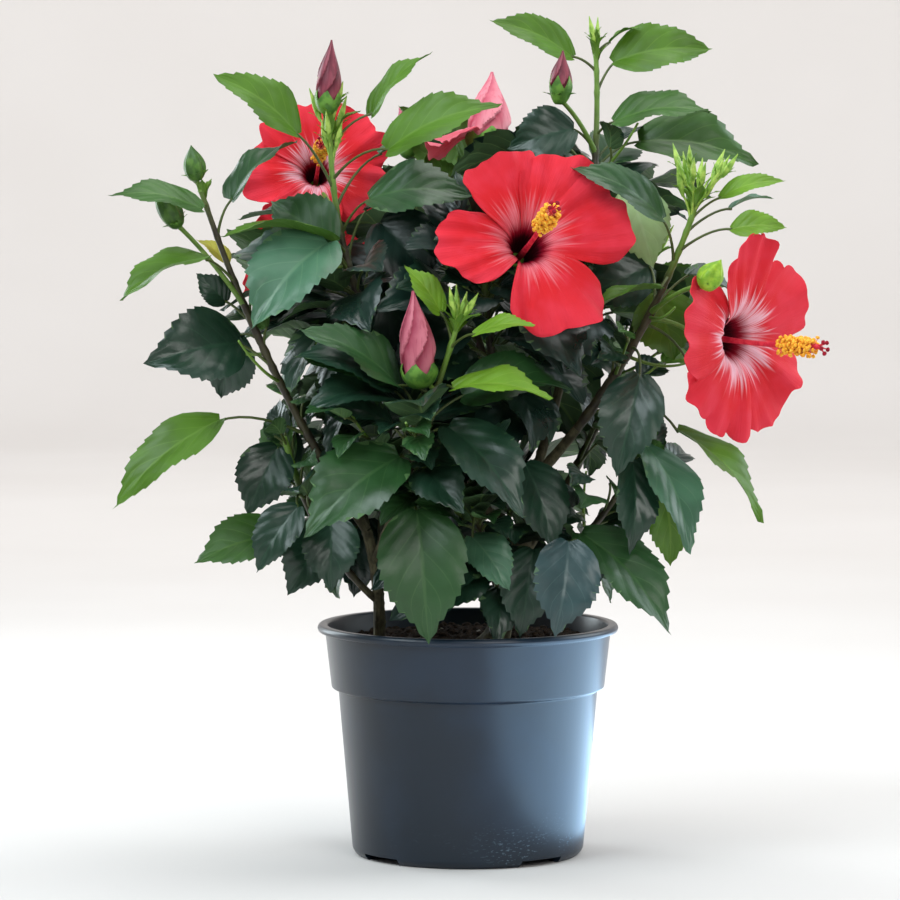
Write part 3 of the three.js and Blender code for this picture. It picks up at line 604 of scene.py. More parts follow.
# Stem, how far up it, tip, bow, foot radius, bare share, leaves by rule, largest blade, where leaves end
CANES = table("name host up tip bow thick bare count blade crown", [
    ("front", "left_stem", 0.72, [-6, -92, 322], [1, -13, 0], 2.7, 0.2, 14, 68, 0.6),
    ("right", "trunk", 1, [134, -48, 392], [9, -4, -6], 3.4, 0.22, 12, 66, 0.66),
    ("left", "left_stem", 1, [-157, -60, 402], [-6, -2, -6], 3, 0.16, 8, 62, 0.66),
    ("top_left", "trunk", 0.62, [-81, -30, 442], [-30, -6, -6], 3.1, 0.32, 14, 70, 0.7),
    ("middle", "trunk", 0.84, [8, -38, 372], [-6, 4, 0], 3, 0.3, 26, 76, 0.97),
    ("top_right", "trunk", 0.94, [77, 60, 484], [14, 14, 4], 3.1, 0.24, 14, 70, 0.72),
    ("back", "trunk", 0.74, [-14, 112, 418], [-4, 14, 0], 3, 0.24, 26, 76, 0.97),
    ("back_left", "left_stem", 0.9, [-92, 92, 350], [-4, 12, 0], 2.8, 0.22, 24, 74, 0.97),
    ("back_right", "trunk", 0.5, [112, 88, 352], [10, 10, -4], 2.9, 0.26, 26, 76, 0.97),
    ("inner", "left_stem", 0.56, [-46, 26, 318], [2, 8, 0], 2.5, 0.14, 28, 76, 0.97),
    ("low_left", "left_stem", 0.4, [-108, -36, 252], [-6, 0, -8], 2.2, 0.14, 18, 62, 0.97),
    ("low_front", "trunk", 0.2, [0, -74, 226], [0, -6, 0], 2.2, 0.18, 22, 66, 0.97),
    ("low_right", "trunk", 0.36, [104, -34, 246], [6, -4, -8], 2.3, 0.2, 20, 66, 0.97),
    ("low_back", "trunk", 0.28, [18, 84, 244], [0, 8, -6], 2.3, 0.2, 22, 72, 0.97),
])
VIEWER, SKY_LEFT, SKY_RIGHT = (0, -1, 0.35), (-0.6, -0.4, 0.8), (0.6, -0.5, 0.8)
# Cane, how far up it, foot, blade, width, way the upper face looks, tint
SHOWN_LEAVES = table("cane up base blade width face tint", [
    ("left", 0.94, [-154, -60, 387], [-54, -6, 8], 26, (0, -0.5, 0.9), "grass"),
    ("left", 0.86, [-138, -58, 392], [38, 24, 34], 30, SKY_LEFT, "mid"),
    ("left", 0.74, [-151, -58, 358], [-50, -18, -23], 40, SKY_LEFT, "fresh"),
    ("left", 0.5, [-134, -52, 308], [-54, -30, -10], 46, VIEWER, "deep"),
    ("left", 0.58, [-136, -30, 312], [-10, 12, -38], 34, VIEWER, "deep"),
    ("left", 0.66, [-142, -40, 354], [-18, 12, 14], 18, SKY_RIGHT, "amber"),
    ("left", 0.62, [-142, -44, 332], [-17, -6, 17], 18, VIEWER, "deep"),
    ("left", 0.3, [-145, -60, 264], [-61, -22, -50], 33, (-0.4, -0.9, 0.7), "fresh"),
    ("top_left", 0.84, [-100, -46, 430], [-48, -8, 35], 32, (0.5, -0.7, 0.5), "fresh"),
    ("top_left", 0.86, [-47, -55, 421], [66, -15, 27], 34, (-0.3, -0.8, 0.7), "fresh"),
    ("top_left", 0.93, [-57, -25, 441], [36, 2, 37], 20, (-0.7, -0.5, 0.5), "fresh"),
    ("top_left", 0.8, [-52, -10, 418], [38, 8, 6], 24, UP, "sage"),
    ("top_left", 0.66, [-80, -12, 364], [-36, 20, 26], 40, VIEWER, "mid"),
    ("top_left", 0.6, [-90, 4, 374], [-48, 10, 4], 30, UP, "deep"),
    ("top_left", 0.7, [-78, -46, 367], [-66, -24, 4], 32, UP, "fresh"),
    ("top_left", 0.64, [-82, -52, 367], [-43, -34, -49], 51, (-0.35, -0.9, 0.45), "sage"),
    ("top_left", 0.74, [-58, -42, 392], [60, -12, 2], 44, (0.1, -0.7, 0.8), "mid"),
    ("top_left", 0.56, [-52, -18, 378], [32, -14, -36], 44, VIEWER, "night"),
    ("top_left", 0.5, [-72, -14, 362], [12, -12, -46], 42, VIEWER, "night"),
    ("front", 0.7, [-40, -90, 285], [-57, -10, 34], 36, (0.2, -0.6, 0.9), "mid"),
    ("front", 0.74, [-9, -97, 284], [57, -20, -4], 28, (0, -0.5, 1), "lime"),
    ("front", 0.9, [3, -96, 316], [35, -10, 6], 20, (0, -0.5, 1), "lime"),
    ("front", 0.92, [-16, -90, 328], [-21, -2, 27], 18, (0.5, -0.8, 0.3), "lime"),
    ("front", 0.52, [-12, -92, 262], [43, -32, -50], 42, (0.45, -0.85, 0.4), "deep"),
    ("front", 0.44, [-40, -86, 244], [-54, -30, -44], 50, (-0.3, -0.9, 0.5), "mid"),
    ("front", 0.3, [-30, -84, 213], [7, -14, -76], 52, (0.05, -1, 0.15), "mid"),
    ("low_front", 0.8, [2, -66, 196], [22, -16, -30], 28, (0.3, -0.9, 0.3), "sage"),
    ("low_front", 0.94, [33, -58, 238], [17, -18, -50], 34, (0.3, -0.9, 0.3), "deep"),
    ("right", 0.52, [100, -62, 290], [-14, -14, -58], 38, VIEWER, "deep"),
    ("right", 0.36, [122, -52, 257], [50, -12, -53], 32, (0.7, -0.4, 0.6), "fresh"),
    ("right", 0.42, [104, -48, 248], [25, -28, -61], 38, (0.6, -0.7, 0.3), "sage"),
    ("low_right", 0.92, [96, -58, 240], [-2, -16, -54], 28, (0.4, -0.9, 0.2), "deep"),
    ("low_right", 0.84, [114, -16, 226], [6, 0, -52], 34, (0.3, -0.9, 0.2), "fresh"),
    ("right", 0.6, [130, -36, 294], [22, 6, -12], 20, (0.4, -0.7, 0.6), "mid"),
    ("right", 0.72, [112, -14, 336], [10, 4, -40], 40, VIEWER, "fresh"),
    ("right", 0.76, [113, -48, 340], [-44, -14, -16], 26, UP, "fresh"),
    ("right", 0.66, [108, -18, 352], [-40, 0, -20], 38, VIEWER, "deep"),
    ("right", 0.8, [113, -52, 381], [-54, -10, 30], 32, (0.5, -0.6, 0.7), "mid"),
    ("right", 0.94, [147, -50, 393], [38, -2, 10], 16, (0.1, -0.6, 0.8), "lime"),
    ("right", 0.84, [153, -60, 375], [32, -4, 1], 18, (0.1, -0.8, 0.6), "lime"),
    ("right", 0.9, [154, -32, 386], [26, 4, 6], 14, UP, "sage"),
    ("low_left", 0.86, [-112, -32, 246], [-18, -8, -40], 34, VIEWER, "deep"),
    ("low_left", 0.5, [-108, -42, 195], [-52, -14, -15], 38, (-0.3, -0.8, 0.7), "grass"),
    ("low_left", 0.7, [-99, -46, 214], [-24, -6, -38], 28, (-0.4, -0.9, 0.2), "deep"),
    ("low_left", 0.34, [-84, -40, 196], [-22, -10, -36], 32, VIEWER, "deep"),
    ("low_left", 0.4, [-80, -56, 206], [0, -12, -42], 34, VIEWER, "deep"),
    ("low_right", 0.4, [66, -62, 197], [51, -35, -56], 42, (0.3, -0.7, 0.7), "mid"),
    ("low_right", 0.24, [38, -62, 188], [-8, -12, -50], 34, VIEWER, "deep"),
    ("low_right", 0.32, [58, -74, 195], [-8, -14, -54], 40, (0.2, -1, 0.2), "slate"),
    ("top_right", 0.93, [63, 50, 475], [-50, -8, 22], 26, (-0.2, -0.7, 0.7), "fresh"),
    ("top_right", 0.88, [88, 62, 472], [60, 5, 8], 34, (0.1, -0.8, 0.6), "fresh"),
    ("top_right", 0.97, [86, 60, 484], [18, 0, 9], 12, UP, "fresh"),
    ("top_right", 0.78, [88, 44, 436], [58, -8, 6], 36, (0, -0.5, 0.9), "grass"),
    ("top_right", 0.7, [104, 74, 424], [72, -6, -14], 44, (0.1, -0.7, 0.7), "grass"),
    # This leaf's very light tint paints light shining through it from behind
    ("top_right", 0.6, [95, -16, 396], [14, -8, -45], 36, VIEWER, "pale"),
    ("low_back", 0.6, [8, 30, 196], [-8, -8, -42], 36, VIEWER, "night"),
    ("low_back", 0.5, [30, 26, 190], [8, -8, -38], 32, VIEWER, "night"),
    ("low_left", 0.3, [-60, -8, 200], [-8, -8, -46], 36, VIEWER, "night"),
    ("low_back", 0.45, [-12, 18, 184], [-6, -6, -36], 30, VIEWER, "night"),
    ("top_right", 0.74, [64, 48, 432], [-40, -5, -12], 34, VIEWER, "deep"),
])
# Cane, how far up it, throat, way it faces, first petal's turn, size, how far the petals open, extra turn of
# each petal, strength of the pale rays
BLOOMS = table("cane up throat faces phase size spread turns rays", [
    ("middle", 0.97, [35, -78, 368], [0.24, -0.89, 0.39], -30, 0.96, 84, [-5, -26, -18, 14, 32], 0.5),
    ("right", 0.62, [158, -56, 311], [0.8, -0.6, -0.05], 0, 1.0, 84, [0, 6, 9, 16, 8], 2.0),
    ("top_left", 0.76, [-90, 18, 407], [0.08, -0.9, 0.42], 22, 0.72, 84, [0, 0, 0, 0, 0], 1.5),
    ("back_left", 0.95, [-96, 130, 350], [-0.45, 0.85, 0.25], 15, 0.76, 84, [0, 0, 0, 0, 0], 0.8),
])
# Cane, how far up it, foot, tip, width, kind
BUDS = table("cane up foot tip width kind", [
    ("top_left", 0.97, [-83, -34, 443], [-80, -34, 485], 14, "dark"),
    ("front", 0.72, [-28, -98, 286], [-32, -101, 341], 20, "rose"),
    ("top_right", 0.74, [55, 40, 448], [57, 38, 479], 13, "hooded"),
    ("left", 0.98, [-158, -62, 403], [-161, -64, 424], 12, "green"),
    ("left", 0.68, [-168, -66, 376], [-182, -70, 402], 13, "green"),
    ("right", 0.64, [135, -98, 342], [145, -102, 359], 14, "lime"),
    ("back", 0.98, [-34, 124, 414], [-42, 132, 444], 13, "rose"),
    ("back", 0.9, [12, 82, 416], [15, 96, 466], 25, "pink"),
    ("back_right", 0.98, [116, 96, 360], [120, 104, 388], 12, "green"),
    ("back_left", 0.98, [-90, 88, 358], [-88, 86, 386], 12, "dark"),
])
# The pink bud is nearly open: one petal has fallen out of its roll.
FALLEN = Named(
    throat=np.array([11, 85, 430]), faces=(0.05, 0.32, 0.94), phase=-60, size=0.62, spread=122,
    turns=np.zeros(5), rays=0.8,
)
print("shown leaves:", len(SHOWN_LEAVES), "blooms:", len(BLOOMS), "buds:", len(BUDS))

# %% [markdown]
# ## Keeping leaves apart
# Two leaves that cut through each other look wrong. Each leaf gets a coarse closed body, a little fatter
# than the leaf, and a tree of its faces that tells whether it meets another. The boxes of all bodies are
# compared first, as one array, so that only near neighbours are looked at closely.

# %% Coarse bodies and the touch test
LEAF = Named(
    thick=1.2, arch=0.1, fold=0.3, widest=0.37, rise=0.55, small=62, rows=(0.12, 0.4, 0.74),
    few_rows=(0.2, 0.62),
)
STALK = Named(root=0.95, foot=0.8, flower=1.5)


def leaf_outline(t):
    """Half-width along a leaf as a share of its widest: t^0.55 (1-t)^0.94, scaled to 1 where it is widest."""
    rise, widest = LEAF.rise, LEAF.widest
    fall = rise * (1 - widest) / widest
    most = widest**rise * (1 - widest) ** fall
    return t**rise * (1 - t) ** fall / most


def limb_body(curve, radius_at, sides, steps, start=0.0, end=1.0):
    """The points and faces of a coarse tube."""
    body = tube(curve, radius_at, steps + 1, sides, start, end)
    return body["points"], (body["quads"], body["tris"])


def leaf_body(base, blade, width, face, extra):
    """The coarse leaf: four-sided rings, edges lifted by the fold, on a midrib arched over its chord."""
    along, length = unit(blade), float(np.linalg.norm(blade))
    face = square_to(face, along)
    side = np.cross(face, along)
    rib = lambda t: base + blade * t + face * LEAF.arch * length * math.sin(math.pi * t)
    thick = LEAF.thick / 2 + extra
    rows = LEAF.few_rows if length < LEAF.small else LEAF.rows
    rings = []
    for t in rows:
        half = width / 2 * leaf_outline(t) + extra
        edge = rib(t) + face * half * LEAF.fold
        rings += [edge + side * half, rib(t) + face * thick, edge - side * half, rib(t) - face * thick]
    return np.array(rings + [rib(0) - along * extra, rib(1) + along * extra]), loft_faces(len(rows), 4)


def stalk_body(root, foot, radii):
    """A straight four-sided stalk."""
    curve = np.array([root, (root + foot) / 2, foot])
    return limb_body(curve, lambda t: between(*radii, t), 4, 1)


class Standing:
    """Every body that later ones must stay clear of: its tree of faces, its box, its owner and its kind."""

    def __init__(self, room=6000):
        """Makes room for so many boxes, each turned inside out so that it meets nothing yet."""
        self.low, self.high = np.full((room, 3), 1e9), np.full((room, 3), -1e9)
        self.trees, self.labels = [], []

    def tree(self, points, faces):
        """The search tree of a body's faces."""
        polygons = [*faces[0].tolist(), *faces[1].tolist()]
        return BVHTree.FromPolygons([tuple(p) for p in points], polygons)

    def add(self, owner, kind, body):
        """Takes a body in."""
        self.low[len(self.trees)], self.high[len(self.trees)] = body[0].min(0), body[0].max(0)
        self.trees.append(self.tree(*body))
        self.labels.append((owner, kind))

    def touches(self, body, ignores=lambda owner, kind: False):
        """True if a body meets one that stands and isn't ignored."""
        near = np.flatnonzero(((body[0].min(0) < self.high) & (body[0].max(0) > self.low)).all(1))
        near = [k for k in near if not ignores(*self.labels[k])]
        tree = self.tree(*body) if near else None
        return any(tree.overlap(self.trees[k]) for k in near)


standing = Standing()
for node in ("pot", "soil"):
    corners = np.array([v.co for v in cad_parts[node].data.vertices], float) / MM
    triangles = np.array([p.vertices[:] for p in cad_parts[node].data.polygons])
    standing.add(node, "wall", (corners, (np.empty((0, 4), int), triangles)))

# %% [markdown]
# ## Wood
# The rooted stems and boughs are woody: grey-brown bark with shallow lengthwise furrows, small corky dots and
# the ring-shaped scars of old leaves. A displacement map would be baked flat on export, so the relief is in
# the mesh: each limb is a fine tube whose radius is the source's own taper times one plus a sum of waves.

# %% The limbs' curves and tapers
FLARE_UP_TO = 0.12  # share of a rooted stem over which its foot widens
CANE_TIP = Named(radius=1.5, power=0.8)

rooted = {}
for name, (start, end, bow, thick, flare) in ROOTED.items():
    taper = lambda t, thick=thick, flare=flare: (
        between(*thick, t) + flare * np.maximum(0, 1 - np.asarray(t) / FLARE_UP_TO) ** 2
    )
    rooted[name] = Named(curve=bowed(start, end, bow), radius=taper)
    standing.add(name, "limb", limb_body(rooted[name].curve, lambda t: taper(t) + CLEAR, 9, 6))

canes = {cane.name: cane for cane in CANES}
for name, cane in canes.items():
    host, up, bare = rooted[cane.host].curve, cane.up, cane.bare
    fork = CLEAR + 0.2 if up == 1 else 0
    curve = bowed(on_curve(host, up) + tangent(host, 1) * fork, cane.tip, cane.bow)
    taper = lambda t, thick=cane.thick: (
        between(thick, CANE_TIP.radius, np.asarray(t, float) ** CANE_TIP.power)
    )
    cane.curve, cane.radius, cane.nodes = curve, taper, []
    standing.add(name, "limb", limb_body(curve, lambda t: taper(t) + CLEAR, 6, 3, 0, bare))
    standing.add(name, "stem", limb_body(curve, taper, 5, 5, bare, 1))

# %% [markdown]
# ## The coarse blooms and buds
# These bodies only keep leaves away from the flowers. A bloom's outline is the same as the fine one below:
# five petals that leave a tube almost along the axis and bend out until they lie nearly square to it.

# %% The flower's outline
PETALS = 5
BLOOM = Named(
    tube_angle=13, length=79, tube=4, opens=(0.16, 0.62), overlap=2.6, ruffle=2.2, throat=30, behind=2,
    column=88, column_radius=1.9, brush_from=60, brush_to=83, brush_radius=4.6, calyx_length=19,
    calyx_radius=9.2,
)


def petal_profile(u, size, spread):
    """Distance out, height and angle at u along a petal, from steps of its length at an angle that grows from
    the tube's to the spread between 0.16 and 0.62 of the way."""
    fine = np.linspace(0, 1.12, 225)
    angle = np.radians(between(BLOOM.tube_angle, spread, easing(*BLOOM.opens, fine)))
    step = BLOOM.length * size * (fine[1] - fine[0])
    out = BLOOM.tube * size + np.cumsum(np.sin(angle)) * step - np.sin(angle[0]) * step
    up = -BLOOM.throat * size + np.cumsum(np.cos(angle)) * step - np.cos(angle[0]) * step
    return np.interp(u, fine, out), np.interp(u, fine, up), np.interp(u, fine, angle)


def flower_axes(faces):
    """The flower's axis, and two directions square to it that its turns are counted in."""
    axis = unit(faces)
    across = square_to(UP, axis)
    return axis, across, np.cross(axis, across)


def bloom_foot(bloom):
    """Where a bloom meets its stalk: behind the throat, along its axis."""
    return bloom.throat - unit(bloom.faces) * (BLOOM.throat + BLOOM.behind) * bloom.size


def bloom_body(bloom):
    """The coarse flower as one closed loft: the calyx, the petals' backs, their faces, and the column."""
    axis, across, over = flower_axes(bloom.faces)
    throat, size, foot = bloom.throat, bloom.size, -BLOOM.throat
    v, tilt = np.tile([-1, -0.35, 0.35], PETALS), np.tile([-1, 0, 1], PETALS)
    petal = np.repeat(np.arange(PETALS), 3)
    turn = np.radians(bloom.phase + 360 / PETALS * (petal + v / 2))
    place = lambda r, h: throat + r[:, None] * round_about(across, over, turn) + h[:, None] * axis
    flat = lambda r, h: place(np.full(len(v), r * size), np.full(len(v), (foot + h) * size))

    def petals(u, back):
        """One ring of the petals at u, held off to the back."""
        out, up, angle = petal_profile(u * (1 - 0.17 * np.abs(v) ** 2.5), size, bloom.spread)
        ruffle = BLOOM.overlap * tilt * u**1.5 + BLOOM.ruffle * np.cos(5 * v + 2 * petal) * u**3
        return place(out + back * np.cos(angle), up + size * ruffle - back * np.sin(angle))

    rows, cup_radius, cup_length = [0.3, 0.52, 0.76, 1], BLOOM.calyx_radius, BLOOM.calyx_length
    rings = [flat(3, -3), flat(cup_radius, cup_length / 2), flat(cup_radius, cup_length)]
    rings += [petals(u, 3.2) for u in rows] + [petals(u, -1.8) for u in rows[::-1]]
    rings += [flat(BLOOM.column_radius, h) for h in (cup_length, BLOOM.brush_from)]
    rings += [flat(BLOOM.brush_radius, h) for h in (BLOOM.brush_from + 6, BLOOM.brush_to)]
    ends = [throat + axis * (foot - 4) * size, throat + axis * (foot + BLOOM.column) * size]
    return np.concatenate(rings + [np.array(ends)]), loft_faces(len(rings), len(v))


def bud_body(foot, tip, width):
    """The coarse bud: a six-sided spindle."""
    axis, long, half = unit(tip - foot), float(np.linalg.norm(tip - foot)), width / 2
    shape = [(half * 0.6, 0), (half, 0.25), (half * 0.9, 0.6), (half * 0.35, 0.92)]
    ring = round_about(*two_sides(axis), ring_turns(6))
    rings = [foot + axis * long * h + r * ring for r, h in shape]
    return np.concatenate(rings + [[foot - axis], [tip]]), loft_faces(len(rings), 6)


# %% [markdown]
# ## Growing
# What the tables list comes first, so that it always has its place. Then come the rule's leaves, and last
# the finer growth that only this script adds.

# %% Setting leaves, blooms and buds
leaves = []
flower_stalks = []


def own_stem(cane):
    """Stalks of one cane may meet each other at the stem, but never a blade."""
    return lambda owner, kind: owner == cane and kind != "blade"


def settle_leaf(cane, curve, up, base, blade, width, face, tint, rank, extra=CLEAR):
    """Sets a leaf unless its blade or its stalk would touch something."""
    root = on_curve(curve, up)
    body = leaf_body(base, blade, width, face, extra)
    stalk = stalk_body(root, base, (STALK.root + extra, STALK.foot + extra))
    if standing.touches(body) or standing.touches(stalk, own_stem(cane)):
        return False
    standing.add(cane, "blade", body)
    standing.add(cane, "stalk", stalk)
    leaves.append({"cane": cane, "root": root, "stem": tangent(curve, up), "base": base, "blade": blade,
                   "width": width, "face": np.asarray(face, float), "tint": tint, "rank": rank})
    return True


def settle_flower(cane, up, body, foot):
    """Sets a bloom or bud on its stalk."""
    root = on_curve(canes[cane].curve, up)
    radius = STALK.flower + CLEAR
    standing.add(cane, "blade", body)
    standing.add(cane, "stalk", stalk_body(root, foot, (radius, radius)))
    canes[cane].nodes.append(up)
    flower_stalks.append((root, foot, tangent(canes[cane].curve, up)))


IN_THE_BUD = 0.06  # share of a bud's length that its stalk reaches into it
for bloom in BLOOMS:
    settle_flower(bloom.cane, bloom.up, bloom_body(bloom), bloom_foot(bloom))
for bud in BUDS:
    ends = bud.foot, bud.tip
    settle_flower(bud.cane, bud.up, bud_body(*ends, bud.width), between(*ends, IN_THE_BUD))

# Steps back and forth that a shown leaf may take to be clear of its neighbours
DEPTHS = (0, -6, 6, -12, 12, -18, 18, -26, 26)
for leaf in SHOWN_LEAVES:
    cane, up, base, *looks = vars(leaf).values()
    found = any(
        settle_leaf(cane, canes[cane].curve, up, base + [0, depth, 0], *looks, "shown") for depth in DEPTHS
    )
    canes[cane].nodes.append(up)
    if not found:
        print("no room for a shown leaf on", cane, base)

# %% The growth rule
CROWN = Named(
    foot=84, shoulder=166, top=0.62, centre=np.array([5, 0, 250.0]), widens=(110, 330), narrows=(400, 500),
    over_mix=8,
)
# Turns and sizes that a leaf tries until it has room
TRIES = ((0, 1), (45, 1), (-45, 1), (90, 0.9), (-90, 0.9), (20, 0.7), (-20, 0.7), (180, 0.8))
RULE = Named(width=0.7, outward=0.7, faces_out=0.75, level=0.4, ahead=(0.45, 1.1), tip_size=0.42)


def crown_reach(z):
    """How far the crown reaches from the axis at a height: narrow over the pot, widest at its shoulder."""
    wide = between(CROWN.foot, CROWN.shoulder, easing(*CROWN.widens, z))
    return wide * between(1, CROWN.top, easing(*CROWN.narrows, z))


def inside_crown(tip):
    """True if a leaf's tip is over the pot's rim and within the crown's reach."""
    return tip[2] > SOIL.top + CROWN.over_mix and math.hypot(tip[0], tip[1]) < crown_reach(tip[2])


# Sky that shows between the shoots: [x, z] in the plane of the pot's axis, half width, half height
OPEN = [
    ([-131, 278], 13, 22), ([-128, 238], 7, 20), ([-132, 384], 14, 11), ([-37, 410], 16, 6),
    ([41, 444], 21, 10), ([116, 363], 11, 20), ([107, 301], 13, 11), ([128, 272], 14, 20),
    ([79, 216], 5, 16), ([30, 458], 22, 12), ([-24, 458], 14, 12), ([147, 367], 15, 14),
    ([-110, 296], 8, 15), ([126, 252], 14, 11),
]


def seen(points):
    """Where points show from the camera: x, and their height carried to the axis plane along its way."""
    height = points[..., 2] + points[..., 1] * math.tan(math.radians(VIEW.pitch_down))
    return np.stack([points[..., 0], height], -1)


def along_blade(base, blade, shares):
    """Points of a leaf at some shares of its length."""
    return base + blade * np.array(shares)[:, None]


# Discs over what the photograph shows: x and height as seen, depth and radius
DISC = Named(bloom=46, leaf=0.4, shares=(0.2, 0.5, 0.78))
discs = [
    [*seen(bloom.throat), bloom.throat[1], DISC.bloom * bloom.size] for bloom in BLOOMS[:3]
]
for leaf in leaves:
    for share in DISC.shares if leaf["tint"] != "night" else ():
        place = leaf["base"] + leaf["blade"] * share
        discs.append([*seen(place), place[1], DISC.leaf * leaf["width"] * leaf_outline(share)])
discs = np.array(discs)


def in_the_open(base, blade):
    """True if a leaf would cover an open place."""
    points = seen(along_blade(base, blade, (0.1, 0.4, 0.7, 1.0)))
    return any((((points - place) / [wide, tall]) ** 2).sum(1).min() < 1 for place, wide, tall in OPEN)


def covers(points, places, depths, reach):
    """True if a point stands before one of some places, as seen, and within reach of it."""
    gap = np.linalg.norm(seen(points)[:, None] - places, axis=-1)
    return bool(((gap < reach) & (points[:, 1:2] < depths)).any())


def hides_what_is_shown(base, blade):
    """True if a leaf would stand in front of a leaf or bloom that the photograph shows."""
    points = along_blade(base, blade, (0.15, 0.5, 0.85))
    return covers(points, discs[:, :2], discs[:, 2], discs[:, 3] + 0.2 * np.linalg.norm(blade))


def veils_a_cane(base, blade):
    """True if a leaf would stand in front of one of the two canes that the photograph shows whole."""
    points = along_blade(base, blade, (0.05, 0.35, 0.65, 0.95))
    reach = np.array([6, *(np.linalg.norm(blade) * np.array([0.3, 0.28, 0.06]))])[:, None]
    lines = [on_curve(canes[name].curve, np.linspace(0.1, 0.95, 18)) for name in ("left", "right")]
    return any(covers(points, seen(line), line[:, 1], reach) for line in lines)


def outward_of(point):
    """The level direction from the middle of the crown to a point."""
    return square_to((point - CROWN.centre) * [1, 1, 0], UP)


def spun(along, degrees):
    """A way square to a stem, turned about it."""
    return turned(square_to(np.array([1, 0.1, 0]), along), along, math.radians(degrees))


def rule_tint(base, young, draw):
    """Tips are fresh green; leaves deep in the crown get the darkest tints, the darker green of older leaves
    with painted shade in it; the rest are mixed.
    """
    depth = math.hypot(base[0], base[1]) / float(crown_reach(base[2]))
    pick = draw(0, 1)
    if young > 0.8 and depth > 0.5 and base[2] > 290:
        return "fresh" if pick < 0.6 else "grass"
    if depth < 0.45:
        return "night" if pick < 0.6 else "deep"
    if depth < 0.7 or young < 0.25:
        return "deep" if pick < 0.6 else "mid" if pick < 0.9 else "night"
    return "mid" if pick < 0.45 else "grass" if pick < 0.75 else "deep"


def by_age(young):
    """A leaf's size by how young its place is: whole on the older half of a shoot, small at its tip."""
    return between(1, RULE.tip_size, float(easing(0.45, 1, young)))


def grow_leaf(cane, curve, up, young, spin, full, reach, hang, tries, draw, rank, extra=CLEAR):
    """Tries a leaf at one place of a stem: across it at the spin, outwards and hanging by its age."""
    root, along = on_curve(curve, up), tangent(curve, up)
    outward = outward_of(root)
    for turn, scale in tries:
        length = full * scale
        across = unit(spun(along, spin + turn) + outward * RULE.outward)
        stalk = unit(across + along * between(*RULE.ahead, young))
        base = root + stalk * length * reach
        blade = unit([stalk[0], stalk[1], stalk[2] * RULE.level - hang]) * length
        if not inside_crown(base + blade) or in_the_open(base, blade):
            continue
        if veils_a_cane(base, blade) or hides_what_is_shown(base, blade):
            continue
        face = UP + outward * RULE.faces_out
        tint = rule_tint(base, young, draw) if rank != "rule" else None
        if settle_leaf(cane, curve, up, base, blade, length * RULE.width, face, tint, rank, extra):
            return True
    return False


for number, (name, cane) in enumerate(canes.items()):
    draw = chance(4200 + 17 * number)
    curve, bare, count = cane.curve, cane.bare, cane.count
    for k in range(count):
        up = between(bare + 0.06, cane.crown, ((k + 0.5) / count) ** 0.9)
        young = (up - bare) / (1 - bare)
        spin = number * 50 + k * GOLDEN_TURN + draw(-18, 18)
        full = cane.blade * by_age(young) * draw(0.86, 1.12)
        reach = draw(0.3, 0.55)
        hang = between(0.85, -0.5, float(easing(0, 1, young))) + draw(-0.25, 0.25)
        if grow_leaf(name, curve, up, young, spin, full, reach, hang, TRIES, draw, "rule"):
            cane.nodes.append(up)
tinting = chance(77)
for leaf in leaves:
    if leaf["tint"] is None:
        start, _, end = canes[leaf["cane"]].curve
        height, long = float(np.linalg.norm(leaf["root"] - start)), float(np.linalg.norm(end - start))
        leaf["tint"] = rule_tint(leaf["base"], height / long, tinting)
print("leaves by hand and by rule:", len(leaves))

# %% [markdown]
# The finer growth fills the crown as the real one is filled. More leaves follow the same rule at places
# between the first ones, with thin bodies in the touch test, and side twigs leave the canes where leaves sit.

# %% Finer growth within the same reach
FILL = Named(leaves=26, tries=5, clear=0, sizes=(0.95, 0.8, 0.62, 0.45))
TWIGS = Named(each=5, long=(34, 62), radius=(1.2, 0.7), leaves=5, blade=(26, 42))
twig_radius = lambda t: between(*TWIGS.radius, t)
twigs = []
for number, (name, cane) in enumerate(canes.items()):
    draw = chance(900 + 31 * number)
    for k in range(TWIGS.each):
        up = between(cane.bare + 0.1, min(cane.crown, 0.9), (k + 0.5) / TWIGS.each)
        root, along = on_curve(cane.curve, up), tangent(cane.curve, up)
        across = spun(along, k * GOLDEN_TURN + draw(0, 90))
        way = unit(across + outward_of(root) * 0.4 + along * draw(0.3, 0.9))
        tip = root + way * draw(*TWIGS.long)
        twig = bowed(root, tip, -3 * UP + 2 * across)
        body = limb_body(twig, twig_radius, 4, 3, 0.08, 1)
        if not inside_crown(tip) or standing.touches(body, own_stem(name)):
            continue
        standing.add(name, "twig", body)
        twigs.append(twig)
        cane.nodes.append(up)
        for j in range(TWIGS.leaves):
            place = between(0.3, 0.98, (j + 0.5) / TWIGS.leaves)
            full = draw(*TWIGS.blade)
            spin = j * GOLDEN_TURN + draw(-20, 20)
            reach = draw(0.25, 0.45)
            hang = draw(-0.1, 0.6)
            grow_leaf(name, twig, place, place, spin, full, reach, hang, TRIES, draw, "twig", FILL.clear)
print("leaves with side twigs:", len(leaves), "on", len(twigs), "twigs")
for fill_round, share in enumerate(FILL.sizes):
    for number, (name, cane) in enumerate(canes.items()):
        draw = chance(5100 + 211 * fill_round + 13 * number)
        curve, bare = cane.curve, cane.bare
        for k in range(FILL.leaves):
            up = between(bare + 0.04, cane.crown, (k + draw(0, 1)) / FILL.leaves)
            young = (up - bare) / (1 - bare)
            full = cane.blade * by_age(young) * share
            hang = between(0.9, -0.4, float(easing(0, 1, young))) + draw(-0.5, 0.5)
            spin = draw(0, 360)
            reach = draw(0.3, 0.9)
            site = name, curve, up, young, spin, full, reach, hang
            if grow_leaf(*site, TRIES[: FILL.tries], draw, "fill", FILL.clear):
                cane.nodes.append(up)
print("leaves in all:", len(leaves))


# %% [markdown]
# ## Bark and stems in mesh
# Every limb is a tube: a grid of places along its curve and turns about it. Woody limbs get many sides for
# their furrows, green stems fewer, with a small swelling where each leaf stalk joins.

